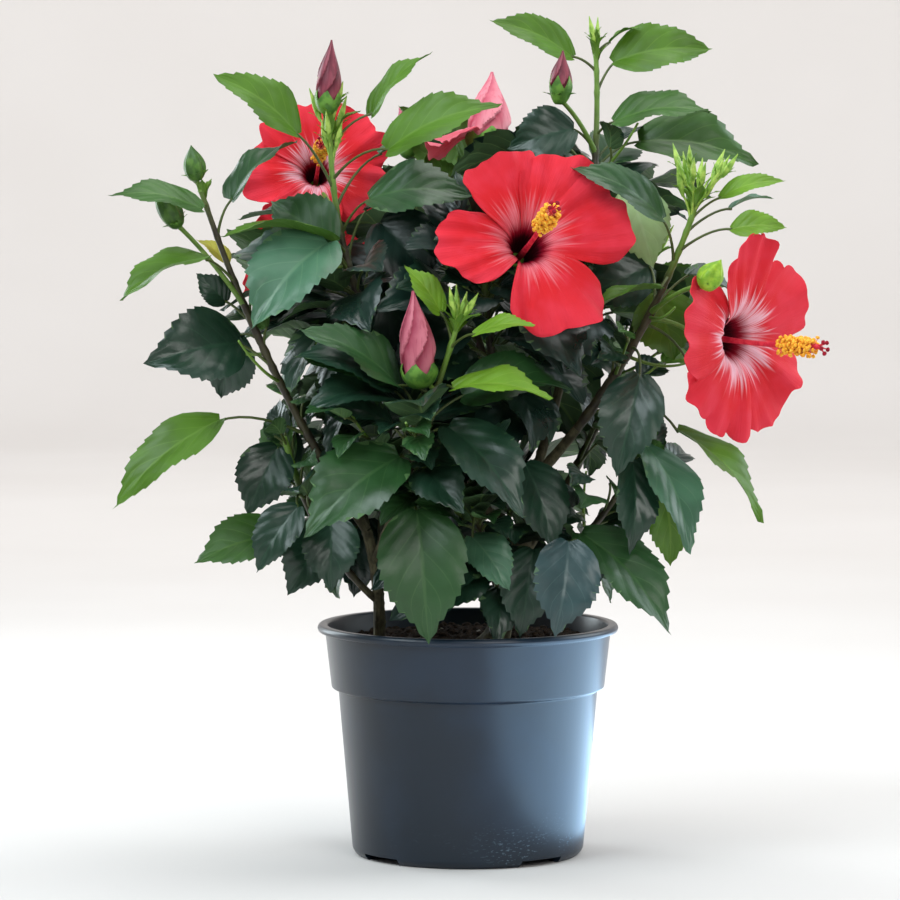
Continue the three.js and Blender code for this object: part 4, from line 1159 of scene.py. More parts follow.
# %% Tubes with relief
BARK = Named(scars=12, scar_gap=(14, 24), scar=0.09, dots=0.8, dot=0.09, most_dot=0.1)


def bark_relief(long, seed):
    """Furrows that wander along the limb, cork dots and leaf scars, as a share of the radius."""
    rng = np.random.default_rng(seed)
    scars = np.cumsum(rng.uniform(*BARK.scar_gap, BARK.scars)) / long
    dots = rng.uniform([0, 0], [1, 2 * np.pi], (int(long * BARK.dots), 2))

    def relief(t, angle):
        """At places and turns."""
        drift = 0.8 * np.sin(t * long / 17 + seed) + 0.4 * np.sin(t * long / 7.3)
        furrow = 0.035 * np.sin(7 * angle + drift) + 0.025 * np.sin(11 * angle - 1.7 * drift + 2)
        cracks = -0.05 * np.maximum(0, np.sin(5 * angle + 2 * drift + t * long / 9)) ** 8
        scar = sum(BARK.scar * np.exp(-(((t - s) * long / 1.1) ** 2)) for s in scars)
        scar = scar * (1 + 0.3 * np.sin(angle + seed))
        cork = np.zeros(np.broadcast(t, angle).shape)
        for at, turn in dots:
            gap = (angle - turn + np.pi) % (2 * np.pi) - np.pi
            cork += BARK.dot * np.exp(-(((t - at) * long / 0.9) ** 2) - (gap / 0.16) ** 2)
        return furrow + cracks + scar + np.minimum(cork, BARK.most_dot)

    return relief


def node_swelling(nodes, long):
    """Small rings of growth where stalks join a green stem, as a share of the radius."""
    nodes = np.array(nodes)[:, None, None]

    def relief(t, angle):
        """At places and turns."""
        swell = 0.22 * np.exp(-(((t[None] - nodes) * long / 2.2) ** 2)).sum(0).clip(0, 1.3)
        return swell + 0.03 * np.sin(5 * angle)

    return relief


def curve_length(curve):
    """Length of a curve, summed over short straight steps."""
    return float(np.linalg.norm(np.diff(on_curve(curve, np.linspace(0, 1, 24)), axis=0), axis=1).sum())


SUNK = -0.02  # share of its length by which a rooted stem starts below the mix
ROW = 1.6  # millimetres between two rings of a bough
wood_parts, stem_parts = [], []
for seed, limb in enumerate(rooted.values()):
    relief = bark_relief(curve_length(limb.curve), seed + 1)
    sink = lambda t, limb=limb: limb.radius(np.maximum(t, 0))
    wood_parts.append(tube(limb.curve, sink, 110, 40, SUNK, 1.0, relief, lambda t, a: 0.15 * t))
for seed, (name, cane) in enumerate(canes.items()):
    curve, radius, bare = cane.curve, cane.radius, cane.bare
    long = curve_length(curve)
    rows = max(10, int(long * bare / ROW))
    relief = bark_relief(long, seed + 5)
    wood_parts.append(tube(curve, radius, rows, 26, 0, bare, relief, lambda t, a: 0.15 + 0.35 * t))
    youth = lambda t, a, green=0.98 if name == "left" else 0.8: easing(green - 0.15, green + 0.12, t)
    swelling = node_swelling(cane.nodes or [0.5], long)
    stem_parts.append(tube(curve, radius, 90, 12, bare, 1.0, swelling, youth))
for twig in twigs:
    stem_parts.append(tube(twig, twig_radius, 12, 7, 0, 1, tone=lambda t, a: 0.6 + 0.4 * t))


# %% The finish of bark and of green stems
def bark_finish():
    """Grey-brown, greener where the limb is younger, with lengthwise fibres."""
    look = Finish("young_bark", Roughness=0.8, Specular_IOR_Level=0.3)
    fibre = look.noise(900.0, 5.0, stretch=(1.0, 1.0, 0.3))
    patch = look.noise(130.0, 3.0)
    bark = look.mixed(look.ranged(patch, 0.35, 0.65), paint(64, 58, 42), paint(104, 98, 74))
    bark = look.mixed(look.times(look.tone(), 0.9), bark, paint(66, 66, 42))
    bark = look.mixed(look.ranged(fibre, 0.45, 0.7, 0.0, 0.45), bark, paint(46, 40, 30))
    look.set("Base Color", bark)
    look.bump(fibre, strength=0.5, distance=0.0006)
    return look.material


def stem_finish():
    """Brown-green below and clear green towards the tip, a little waxy, with fine lines."""
    look = Finish("green_stem", Roughness=0.45, Specular_IOR_Level=0.45)
    patch = look.noise(160.0, 4.0)
    old = look.mixed(look.ranged(patch, 0.35, 0.65), paint(52, 44, 34), paint(70, 66, 42))
    new = look.mixed(patch, paint(88, 122, 46), paint(126, 164, 66))
    look.set("Base Color", look.mixed(look.ranged(look.tone(), 0.1, 0.95), old, new))
    look.bump(look.noise(700.0, 3.0), strength=0.35, distance=0.0005)
    return look.material


stem_green = stem_finish()
make_piece("wood", wood_parts, [bark_finish()], ["trunk", "left_stem", *BOUGH_NODES], sharp=75)
make_piece("shoot_stems", stem_parts, [stem_green], sharp=75)

# %% [markdown]
# ## Leaves
# A hibiscus leaf is broad near its foot and drawn out to a point, with forward teeth over its outer two
# thirds, a slight V along the midrib and edges that turn down again. Each leaf is a closed lens-shaped loft
# along its midrib: every ring runs over the upper face and back under it. All leaves of a tint are computed
# at once, with one more array axis for the leaf, so that hundreds cost no more lines than one.

# %% The leaf's rings
TEETH = Named(shown=8, rest=5, depth=0.075, start=0.27, end=0.93, lean=0.25, peak=0.66)
# From how little to how much single leaves fold, are toothed, wave at the edge, droop, twist and bend
VARIED = Named(
    fold=(0.3, 0.58), teeth=(0.5, 1.35), wave=(0.012, 0.034), droop=(0.02, 0.12), twist=(-0.6, 0.6),
    bend=(-0.05, 0.05),
)


def leaf_rows(teeth):
    """Places along the leaf, how far its edge stands out there, and how far that edge leans to the tip: plain
    near the foot, then by turns a notch and a tooth that points forward, then the plain point."""
    step = (TEETH.end - TEETH.start) / teeth
    notch = TEETH.start + step * np.arange(teeth)
    tooth = notch + TEETH.peak * step
    t = np.concatenate([[0.012, 0.04, 0.1, 0.18], np.stack([notch, tooth], 1).ravel(), [0.965]])
    stand = np.concatenate([[0, 0, 0, 0], np.tile([-0.5, 0.5], teeth), [0]])
    return t, stand, np.where(stand > 0, TEETH.lean * step, 0)


def leaf_columns(fine):
    """Shares of the half-width round a ring: over the upper face from edge to edge, and back under."""
    over = [1, 0.74, 0.42, 0.07, -0.07, -0.42, -0.74, -1] if fine else [1, 0.5, 0.06, -0.06, -0.5, -1]
    under = over[-2:0:-1]
    return np.array(over + under), np.array([0] + [1] * (len(over) - 2) + [0] + [-1] * len(under))


def leaf_shapes(group, teeth, fine, seed):
    """Leaves of a group: base + blade t + side half s + face (V + edge wave + arch - droop) ± thickness."""
    rng = np.random.default_rng(seed)
    t, stand, lean = (row[None, :, None] for row in leaf_rows(teeth))
    s, sheet = (column[None, None, :] for column in leaf_columns(fine))
    count, rows, sides, edge = len(group), t.shape[1], s.shape[2], np.abs(s)
    each = lambda key: np.array([leaf[key] for leaf in group], float)[:, None, None]
    pick = lambda low, high: rng.uniform(low, high, (count, 1, 1))
    calm = np.array([0.15 if leaf.get("rank") == "shown" else 1.0 for leaf in group])[:, None, None]
    base, blade, width = each("base"), each("blade"), each("width")
    along, length = unit(blade), np.linalg.norm(blade, axis=-1)
    face = square_to(each("face"), along)
    side = np.cross(face, along)
    fold = np.array([leaf.get("fold", rng.uniform(*VARIED.fold)) for leaf in group])[:, None, None]
    half = width / 2 * leaf_outline(t) * (1 - 0.45 * easing(0.62, 1.0, t))
    uneven = rng.uniform(*VARIED.teeth, (count, rows, 1))
    tooth = stand * uneven * TEETH.depth * width / 2 * easing(0.15, 0.5, t) * (1.5 - t)
    spread = half * s + tooth * s * edge**3
    ahead = (lean * edge**3 - 0.05 * edge**2 * np.exp(-t / 0.08)) * length
    lift = half * edge * fold * (1 - 0.4 * edge**2)
    wave = pick(*VARIED.wave) * np.sin(2 * np.pi * 1.9 * t + pick(0, 6.28) + 1.4 * np.sign(s))
    arch = LEAF.arch * np.sin(np.pi * t) - calm * pick(*VARIED.droop) * t**3
    lift = lift + length * (wave * edge**2 + arch)
    turn = (calm * pick(*VARIED.twist) * (t - 0.4))[..., None]
    side_at = side * np.cos(turn) + face * np.sin(turn)
    face_at = face * np.cos(turn) - side * np.sin(turn)
    bend = calm * pick(*VARIED.bend) * length * np.sin(np.pi * t)
    thick = np.minimum(0.25, length * 0.004) * sheet * (1 - edge**6)
    centre = base + blade * t[..., None] + along * ahead[..., None]
    points = centre + side_at * (spread + bend)[..., None] + face_at * (lift + thick)[..., None]
    rings = points.reshape(count, -1, 3)
    tip = rings[:, -sides:].mean(1, keepdims=True) + blade[:, 0] * (1.01 - t[0, -1, 0])
    uv = np.stack(np.broadcast_arrays(t[0], (s[0] + 1) / 2), -1).reshape(-1, 2)
    uv = np.concatenate([uv, [[0, 0.5], [1, 0.5]]])
    under = np.arange(sides) >= (sides + 2) // 2 - 1
    finish = np.concatenate([np.tile(under, rows - 1), np.tile(under, 2)]) * 1
    return part_of(np.concatenate([rings, base[:, 0], tip], 1), loft_faces(rows, sides), uv, finish=finish)


# %% [markdown]
# Each tint is nearly plain, and the pattern on it is faint: paler veins, a slow mottling, and a waxy gloss
# that the noise breaks up. Light comes through thin young leaves, so each finish lets a share of it through.
# The underside is paler and matt.

# %% Leaf finishes
# tint: (upper face, veins, share of light let through)
TINTS = {
    # The darkest green, for leaves deep in the crown: the green of old leaves with painted shade in it
    "night": (paint(24, 48, 40), paint(40, 66, 52), 0.05),
    # The dark green of old leaves, with some painted shade in it
    "deep": (paint(30, 60, 44), paint(50, 84, 62), 0.08),
    # A blue-grey green: leaf green with a painted cool reflection in it
    "slate": (paint(52, 78, 80), paint(78, 104, 102), 0.05),
    "mid": (paint(44, 84, 42), paint(74, 112, 62), 0.14),
    "grass": (paint(64, 108, 38), paint(98, 138, 60), 0.2),
    "fresh": (paint(90, 136, 26), paint(122, 162, 54), 0.28),
    "lime": (paint(128, 176, 40), paint(160, 196, 78), 0.32),
    # A grey-green: leaf green with a painted pale sheen in it
    "sage": (paint(78, 122, 94), paint(106, 146, 112), 0.12),
    # A very light green that paints light shining through the leaf from behind
    "pale": (paint(190, 216, 160), paint(208, 228, 184), 0.45),
    "amber": (paint(186, 178, 40), paint(198, 194, 84), 0.3),
}
VEINS = Named(pairs=5.0, slant=0.42)


def vein_mask(look):
    """1 on the midrib and on side veins: lines of equal (along - 0.42 x out), five to a leaf."""
    _, along, across = look.blade()
    out = look.times(look.from_half(across), 2.0)
    rib = look.ranged(out, 0.07, 0.02)
    slant = look.times(look.maths("SUBTRACT", along, look.times(out, VEINS.slant)), VEINS.pairs)
    gap = look.from_half(look.maths("FRACT", slant))
    side = look.times(look.ranged(gap, 0.055, 0.01), look.ranged(out, 1.0, 0.45))
    return look.maths("MAXIMUM", rib, side), gap


def leaf_finish(name, colour, vein_colour, through, roughness, veins):
    """Faintly mottled green with paler veins, quilted between them, and a share of light let through."""
    look = Finish(name, Specular_IOR_Level=0.55)
    slow = look.noise(36.0, 3.0)
    grain = look.noise(520.0, 4.0)
    dark = (*[c * 0.74 for c in colour[:3]], 1.0)
    mask, gap = vein_mask(look)
    green = look.mixed(look.ranged(slow, 0.36, 0.62), dark, colour)
    green = look.mixed(look.times(mask, veins), green, vein_colour)
    look.set("Base Color", green)
    look.set("Roughness", look.ranged(slow, 0.3, 0.7, roughness, roughness + 0.12))
    quilt = look.times(look.ranged(gap, 0.0, 0.45), 0.7)
    relief = look.plus(look.plus(quilt, look.times(grain, 0.3)), look.times(slow, 0.3))
    look.bump(relief, strength=0.3, distance=0.0009)
    look.let_through(through, look.mixed(0.5, green, vein_colour))
    return look.material


def tint_finishes(name, tint):
    """The upper and the under finish of a tint. The underside is the tint mixed with a pale grey-green."""
    colour, vein_colour, through = TINTS[tint]
    pale = tuple(between(a, b, 0.3) for a, b in zip(colour, paint(122, 166, 96)))
    upper = leaf_finish(name, colour, vein_colour, through, between(0.22, 0.44, through / 0.3), 0.4)
    under = leaf_finish(f"{name}_underside", pale, paint(134, 170, 100), through, 0.55, 0.5)
    return [upper, under]


# Whether a leaf is fine, its teeth on each side, and the ranks that are made so
GRADES = ((True, TEETH.shown, ("shown", "rule")), (False, TEETH.rest, ("twig", "fill")))
for number, tint in enumerate(TINTS):
    shapes = []
    for fine, teeth, ranks in GRADES:
        group = [leaf for leaf in leaves if leaf["tint"] == tint and leaf["rank"] in ranks]
        if group:
            shapes.append(leaf_shapes(group, teeth, fine, 40 + number))
    if shapes:
        make_piece(f"leaves_{tint}", shapes, tint_finishes(f"leaf_{tint}", tint))

# %% [markdown]
# ## Leaf stalks
# Each leaf hangs on a thin stalk that leaves the stem a little upwards and bends out to the blade. It is
# thicker at both ends.

# %% All stalks in one piece
IN_THE_BLADE = 0.02  # share of a leaf that its stalk reaches into it


def stalk_shapes(roots, feet, stems, radii, rows=8, sides=6, lift=0.12, tone=0.4):
    """Bowed stalks: a curve from root to foot whose middle leans along the stem, with thicker ends."""
    t = np.linspace(0, 1, rows)[None, :, None]
    long = np.linalg.norm(feet - roots, axis=-1, keepdims=True)
    middle = (roots + feet) / 2 + stems * long * lift * 2
    roots, feet, middle = roots[:, None], feet[:, None], middle[:, None]
    centre = (1 - t) ** 2 * roots + 2 * t * (1 - t) * middle + t**2 * feet
    along = unit((1 - t) * (middle - roots) + t * (feet - middle))
    across, over = two_sides(along, np.roll(SLANT, 1))
    radius = between(*radii, t) * (1 + 0.5 * np.exp(-t / 0.08) + 0.35 * np.exp(-(1 - t) / 0.06))
    ring = round_about(across[:, :, None], over[:, :, None], ring_turns(sides))
    points = (centre[:, :, None] + radius[..., None] * ring).reshape(len(roots), -1, 3)
    points = np.concatenate([points, centre[:, :1], centre[:, -1:]], 1)
    return part_of(points, loft_faces(rows, sides), tone=np.full(rows * sides + 2, tone))


columns = lambda key: np.array([leaf[key] for leaf in leaves])
blade_ends = columns("base") + IN_THE_BLADE * columns("blade")
leaf_stalks = stalk_shapes(columns("root"), blade_ends, columns("stem"), (0.9, 0.7))
roots, feet, stems = (np.array(column) for column in zip(*flower_stalks))
bloom_stalks = stalk_shapes(roots, feet, stems, (1.5, 1.3), rows=14, sides=10, lift=0.08, tone=0.75)
make_piece("stalks", [leaf_stalks, bloom_stalks], [stem_green], sharp=80)

# %% [markdown]
# ## Blooms
# A bloom has five broad petals, each overlapping the next like a pinwheel. They rise out of a narrow tube
# and open nearly flat, crinkled like crepe and ruffled at the rim. One petal is a grid of u along it and v
# across it, in a front and a back sheet. Its rim falls back at the corners, so that it ends round.

# %% Petals
PETAL = Named(rows=34, columns=49, half_turn=44.0, thick=0.45, notches=3, notch=0.06, narrow=0.09)
# Waves across a petal, their height in millimetres, and how it grows along the petal
RUFFLES = [
    (5.5, 2.6, lambda u: u**3), (11, 1.9, lambda u: u**5), (22, 1.0, lambda u: u**6),
    (7.5, 1.5, lambda u: u**1.5), (15, 1.4, lambda u: u * (1.05 - u)), (23, 0.7, lambda u: u * (1 - u)),
]


def notched(v, rng):
    """Ragged cuts in a petal's rim: narrow dips at random places across it."""
    each = (PETALS, 1, 1, PETAL.notches)
    at, deep = rng.uniform(-1, 1, each), rng.uniform(0, PETAL.notch, each)
    return 1 - (deep * np.exp(-(((v[..., None] - at) / PETAL.narrow) ** 2))).sum(-1)


def petal_sheets(bloom, seed, count=PETALS):
    """The petals of a bloom: throat + radius (across cos + over sin) + axis height, on a grid of u and v."""
    rng = np.random.default_rng(seed)
    axis, across, over = flower_axes(bloom.faces)
    size = bloom.size
    u = np.linspace(0, 1, PETAL.rows)[None, :, None] ** 0.9
    v = np.linspace(-1, 1, PETAL.columns)[None, None, :]
    petal = np.arange(PETALS)[:, None, None]
    pick = lambda low, high: rng.uniform(low, high, (PETALS, 1, 1))
    swing = lambda waves: np.sin(waves * v + pick(0, 2 * np.pi))
    lobe = (1 + 0.03 * swing(4) + 0.018 * swing(9) + 0.008 * swing(21)) * notched(v, rng)
    reach = u * (1 - pick(0.14, 0.26) * np.abs(v) ** 3 * u**2) * between(1, lobe, u**5) * pick(0.95, 1.05)
    half_turn = PETAL.half_turn * (1 + 0.35 * (1 - u) ** 2 - 0.1 * u**4) * pick(0.94, 1.06)
    own_turns = np.reshape(bloom.turns, (PETALS, 1, 1))
    turn = np.radians(bloom.phase + 360 / PETALS * petal + own_turns + half_turn * v)
    out, up, angle = petal_profile(reach, size, bloom.spread)
    ruffle = BLOOM.overlap * v * u**1.5 + BLOOM.ruffle * np.cos(5 * v + 2 * petal) * u**3
    for waves_across, height, growth in RUFFLES:
        ruffle = ruffle + height * swing(waves_across) * growth(u)
    ruffle = ruffle + (4 * np.cos(1.8 * v) - 2.4) * u**2 - pick(0, 4) * u**6 + pick(-3, 5) * u**2
    ring, sheets = round_about(across, over, turn), []
    for back in (0, PETAL.thick):
        radius = out + (back - size * ruffle) * np.cos(angle)
        height = up + (size * ruffle - back) * np.sin(angle)
        points = bloom.throat + radius[..., None] * ring + axis * height[..., None]
        sheets.append(points.reshape(PETALS, -1, 3))
    grid = np.stack(np.broadcast_arrays(reach, (v + 1) / 2 + 0 * reach), -1).reshape(PETALS, -1, 2)
    uv = np.concatenate([grid, grid], 1)[:count].reshape(-1, 2)
    points = np.concatenate(sheets, 1)[:count]
    faces = sheet_faces(PETAL.rows, PETAL.columns)
    return {**part_of(points, faces, tone=np.full(points.shape[1], bloom.rays)), "uv": uv}


# %% [markdown]
# Along a petal the colour changes from near-black maroon in the throat, through crimson, to the coral of the
# blade. Between them rays of pale pink run outwards, longer and shorter by turns, where the pigment is thin.
# A noise drawn out along the petal breaks up all three borders. The bump follows the same fine lines.

# %% The petals' finish
CRIMSON, MAROON = paint(158, 8, 40), paint(66, 2, 18)


def petal_finish(name, rim, body, halo, through):
    """Maroon throat, crimson ring, pale rays of uneven length, the body colour, and a pinker rim."""
    look = Finish(name, Roughness=0.6, Specular_IOR_Level=0.16)
    blade, along, across = look.blade()
    lines = lambda stretch, detail: look.noise(1.0, detail, at=blade, stretch=(*stretch, 1.0), Roughness=0.6)
    streak, ray, fine = lines((2.2, 34.0), 3.0), lines((1.2, 26.0), 1.0), lines((3.0, 120.0), 2.0)
    soft = look.noise(55.0, 2.0)
    ragged = lambda noise, depth: look.plus(along, look.times(look.maths("SUBTRACT", noise, 0.5), depth))
    side = look.ranged(look.from_half(across), 0.5, 0.2, 0.3, 1.0)
    colour = look.mixed(look.ranged(soft, 0.35, 0.7, 0.0, 0.6), body, rim)
    colour = look.mixed(look.ranged(along, 0.68, 1.0, 0.0, 0.5), colour, rim)
    rays = look.times(look.ranged(along, 0.26, 0.34), look.ranged(ragged(ray, -0.8), 0.6, 0.36))
    rays = look.times(rays, look.ranged(streak, 0.36, 0.62, 0.25, 0.85))
    rays = look.times(rays, look.tone())
    colour = look.mixed(look.times(rays, side), colour, halo)
    colour = look.mixed(look.ranged(ragged(streak, 0.14), 0.42, 0.30), colour, CRIMSON)
    colour = look.mixed(look.ranged(ragged(streak, 0.12), 0.33, 0.23), colour, MAROON)
    look.set("Base Color", colour)
    look.bump(look.plus(look.times(fine, 0.8), look.times(streak, 0.7)), strength=0.5, distance=0.0014)
    look.let_through(through, colour)
    return look.material


CORAL = paint(240, 66, 88), paint(230, 38, 48), paint(252, 200, 214)
PINK = paint(244, 150, 164), paint(234, 100, 120), paint(255, 214, 222)
coral_petal = petal_finish("coral_petal", *CORAL, through=0.2)
pink_petal = petal_finish("pink_petal", *PINK, through=0.35)
coral_parts = [petal_sheets(bloom, 70 + k) for k, bloom in enumerate(BLOOMS)]
make_piece("petals_coral", coral_parts, [coral_petal], sharp=60)
make_piece("petals_pink", [petal_sheets(FALLEN, 73, 1)], [pink_petal], sharp=60)

# %% [markdown]
# ## The column
# From the middle of each bloom stands a long column: the stamens are fused into a tube round the style. Its
# outer part carries many short filaments, each with a yellow anther, and past its end the style divides into
# five short arms with dark red pads. Filaments and anthers are small lofts placed by golden-angle turns.

# %% Columns, anthers and pads
BRUSH = Named(anthers=180, end=0.955, filament=(1.8, 4.8), anther=1.3, inside=1.4)
STYLE = Named(
    end=0.97, bow=1.6, radius=(2.2, 1.5), waist=0.4, waist_at=0.42, pads=5, pad=1.5, arm=(4.2, 6.2),
    turn=0.5,
)


def balls(centres, axes, radii):
    """Small balls stretched along their own axes: centre + r (directions on a ball)."""
    ball, faces = ball_layout(3, 6)
    axis = unit(axes)
    frame_of = np.stack([*two_sides(axis, np.roll(SLANT, 2)), axis], 1)
    points = centres[:, None] + np.einsum("pk,nkd->npd", ball, frame_of * radii[:, :, None])
    return part_of(points, faces)


def column_parts(bloom, seed):
    """The column, a tube that curves up a little, its filaments and anthers, and its arms and pads."""
    rng = np.random.default_rng(seed)
    axis, across, over = flower_axes(bloom.faces)
    size, count, pad_count = bloom.size, BRUSH.anthers, STYLE.pads
    foot = bloom.throat - axis * BLOOM.throat * size
    end = foot + axis * BLOOM.column * size * STYLE.end
    curve = bowed(foot, end, -across * STYLE.bow * size)
    waist = lambda t: STYLE.waist * np.exp(-(((t - STYLE.waist_at) / 0.2) ** 2))
    column = tube(curve, lambda t: size * (between(*STYLE.radius, t) - waist(t)), 40, 14, 0, 1.0)
    k = np.arange(count)
    t = between(BLOOM.brush_from / BLOOM.column, BRUSH.end, (k + 0.5) / count)
    turn = np.radians(k * GOLDEN_TURN) + rng.uniform(-0.3, 0.3, count)
    root, out = on_curve(curve, t), round_about(across, over, turn)
    way = unit(out + axis * rng.uniform(-0.1, 0.55, (count, 1)))
    long = rng.uniform(*BRUSH.filament, (count, 1)) * size
    tip = root + way * (long + BRUSH.inside * size)
    stems = np.broadcast_to(axis, root.shape)
    filaments = stalk_shapes(root, tip, stems, (0.24, 0.2), rows=3, sides=4, lift=0.1)
    radii = size * BRUSH.anther * rng.uniform([0.8, 0.8, 1.0], [1.0, 1.0, 1.35], (count, 3))
    anthers = balls(tip, np.cross(way, axis) + 0.4 * axis, radii)
    out = round_about(across, over, ring_turns(pad_count) + STYLE.turn)
    arm_end = end + unit(out * 0.85 + axis) * rng.uniform(*STYLE.arm, (pad_count, 1)) * size
    arm_root = np.broadcast_to(end - axis * 1.5, arm_end.shape)
    arms = stalk_shapes(arm_root, arm_end, stems[:pad_count], (0.55, 0.4), rows=5, sides=6)
    pads = balls(arm_end, arm_end - arm_root, np.full((pad_count, 3), STYLE.pad * size) * [1, 1, 0.8])
    return [column, arms], [filaments], [anthers], [pads]


COLUMN_FINISHES = {
    "columns": speckled("column_red", paint(224, 60, 76), paint(196, 24, 54), 0.5, 260.0, 0.0004),
    "filaments": speckled("filament_coral", paint(250, 176, 142), paint(240, 128, 110), 0.5, 500.0, 0.0002),
    "anthers": speckled("anther_yellow", paint(252, 204, 66), paint(240, 150, 34), 0.7, 900.0, 0.0003),
    "pads": speckled("pad_crimson", paint(176, 14, 44), paint(128, 6, 30), 0.8, 1100.0, 0.0005),
}
kinds_of_part = zip(*(column_parts(bloom, 90 + k) for k, bloom in enumerate(BLOOMS)))
for (name, finish), of_each_bloom in zip(COLUMN_FINISHES.items(), kinds_of_part):
    make_piece(name, sum(of_each_bloom, []), [finish], sharp=80)

# %% [markdown]
# ## Buds and calyces
# A bud about to open is a tight roll of petals, each edge a ridge that winds up the spindle. Its foot sits in
# a green calyx of five pointed lobes, with a ring of narrow bracts under it. A young bud is all calyx. The
# open blooms have the same calyx at their backs.

# %% Furled petals, calyx and bracts
CALYX = Named(rows=12, columns=61, lobes=5, valley=0.52, thick=0.55)


def spindle(foot, tip, radius_at, rows, sides, relief, tone=None):
    """A closed spindle from foot to tip: r(h) (1 + relief(h, a)) about the axis."""
    curve = np.array([foot, (foot + tip) / 2, tip])
    return tube(curve, radius_at, rows, sides, 0.0, 1.0, relief, tone)


def furl(h, angle, turns=0.4):
    """From 0 in the fold to 1 at the petal's edge, five times round a bud, winding by `turns` to its tip."""
    return (5 * angle / (2 * np.pi) - 5 * turns * h + 0.12 * np.sin(9 * h)) % 1


def furled(h, angle):
    """The roll's relief: five petals that thicken to a sharp edge, flat at the foot and the tip."""
    return 0.15 * (furl(h, angle) ** 1.5 - 0.35) * np.sin(np.pi * np.clip(h, 0, 1)) ** 0.4


def arc(h, skew, power):
    """From 0 at the foot over 1 to 0 at the tip: sin(pi h^skew)^power."""
    return np.sin(np.pi * np.clip(h, 0, 1) ** skew) ** power


def roll(half):
    """The radius of a furled bud: a narrow foot, full over the calyx, then tapered nearly to a point."""
    swelling = lambda h: between(0.35, 0.85, easing(0, 0.14, h)) + 0.15 * easing(0.1, 0.4, h)
    return lambda h: half * swelling(h) * (1 - 0.97 * easing(0.35, 1.08, h) ** 1.3)


def swollen(half):
    """The radius of a young bud: an egg that is blunt below and pointed above."""
    return lambda h: half * (0.3 + 0.72 * arc(h, 0.72, 0.8)) * (1 - 0.9 * h**5)


def ribbed(depth):
    """Five ribs along a bud, flat at its foot and tip."""
    return lambda h, angle: depth * np.cos(5 * angle) * arc(h, 1, 1)


def cup(radius):
    """The belly of a bud's calyx at a share of its height: narrow foot, round belly, lobes that lean in."""
    return lambda share: radius * (0.42 + 0.62 * arc(share * 0.85, 1, 0.7) + 0.1 * share**2)


def calyx_part(foot, axis, length, belly_at, seed):
    """A cup of pointed lobes: a sheet of turns and heights whose rim rises to a point at each lobe."""
    rows, columns, lobes = CALYX.rows, CALYX.columns, CALYX.lobes
    across, over = two_sides(axis)
    h = np.linspace(0, 1, rows)[:, None]
    turn = np.linspace(0, 2 * np.pi, columns)[None, :]
    point = np.abs(((turn * lobes / (2 * np.pi) + 0.1 * seed) % 1) * 2 - 1) ** 0.8
    height = length * h * between(1.0, CALYX.valley, point)
    belly = belly_at(height / length) * (1 + 0.04 * np.cos(lobes * turn + 0.6 * seed))
    ring = round_about(across, over, turn)
    sheets = [
        (foot + size[..., None] * ring + axis * height[..., None]).reshape(-1, 3)
        for size in (belly, belly - CALYX.thick)
    ]
    faces = sheet_faces(rows, columns)
    return part_of(np.concatenate(sheets), (faces[0][:, ::-1], faces[1]))


def narrow_leaves(centre, axis, count, length, width, rise, start=0.0, spread=0.0):
    """Narrow blades round an axis, leaning out from it: the bracts under a calyx."""
    across, over = two_sides(axis)
    found = []
    draw = chance(int(abs(centre @ [3, 5, 7])) + 11 * count)
    for k in range(count):
        turn = start + k * 2 * math.pi / count + draw(-0.25, 0.25)
        out = across * math.cos(turn) + over * math.sin(turn)
        way = unit(out + axis * rise * draw(0.8, 1.3))
        size = draw(0.8, 1.15)
        found.append({"base": centre + out * spread, "blade": way * length * size, "width": width * size,
                      "face": axis - out * 0.4, "fold": 0.8})
    return found


# kind: (the piece its body goes to, the calyx's share of the length)
BUD_KINDS = {
    "rose": ("rose", 0.3), "pink": ("pink", 0.34), "dark": ("dark", 0.36), "hooded": ("dark", 0.6),
    "green": ("green", 0), "lime": ("lime", 0),
}
BRACTS = Named(count=7, long=9.0, wide=2.6, bloom_long=12, bloom_wide=3.0)
bud_bodies = {body: [] for body, _ in BUD_KINDS.values()}
calyces, bracts = [], []
for k, bud in enumerate(BUDS):
    foot, tip, half = bud.foot, bud.tip, bud.width / 2
    axis, long = unit(tip - foot), float(np.linalg.norm(tip - foot))
    body, share = BUD_KINDS[bud.kind]
    if share:
        bud_bodies[body].append(spindle(foot, tip, roll(half), 44, 60, furled, tone=furl))
        calyces.append(calyx_part(foot - axis * 1.2, axis, long * share, cup(half * 1.02), k))
    else:
        bud_bodies[body].append(spindle(foot, tip, swollen(half), 26, 40, ribbed(0.15)))
    bracts += narrow_leaves(foot, axis, BRACTS.count, BRACTS.long, BRACTS.wide, 0.9, k, half * 0.3)
for k, bloom in enumerate(BLOOMS):
    axis, size, foot = unit(bloom.faces), bloom.size, bloom_foot(bloom)
    long = (BLOOM.calyx_length + 3) * size
    out, up, _ = petal_profile(np.linspace(0, 0.5, 60), size, bloom.spread)
    over_foot = up + (BLOOM.throat + BLOOM.behind) * size
    behind = lambda share: easing(-0.1, 0.22, share) * (np.interp(share * long, over_foot, out) + 1.3)
    calyces.append(calyx_part(foot, axis, long, behind, k))
    long, wide = BRACTS.bloom_long * size, BRACTS.bloom_wide * size
    bracts += narrow_leaves(foot, axis, BRACTS.count, long, wide, 0.5, k, 2 * size)


def roll_finish(name, edge, fold):
    """Rolled petals: painted shade in the fold, lighter to the edge, with fine lines drawn out along the bud.
    """
    look = Finish(name, Roughness=0.45, Specular_IOR_Level=0.35)
    line = look.noise(420.0, 4.0, stretch=(1.0, 1.0, 0.14))
    cloud = look.noise(90.0, 2.0)
    share = look.plus(look.times(look.tone(), 0.7), look.times(cloud, 0.5))
    colour = look.mixed(look.ranged(share, 0.2, 0.85), fold, edge)
    look.set("Base Color", look.mixed(look.ranged(line, 0.5, 0.66, 0.0, 0.5), colour, fold))
    look.bump(line, strength=0.5, distance=0.0006)
    return look.material


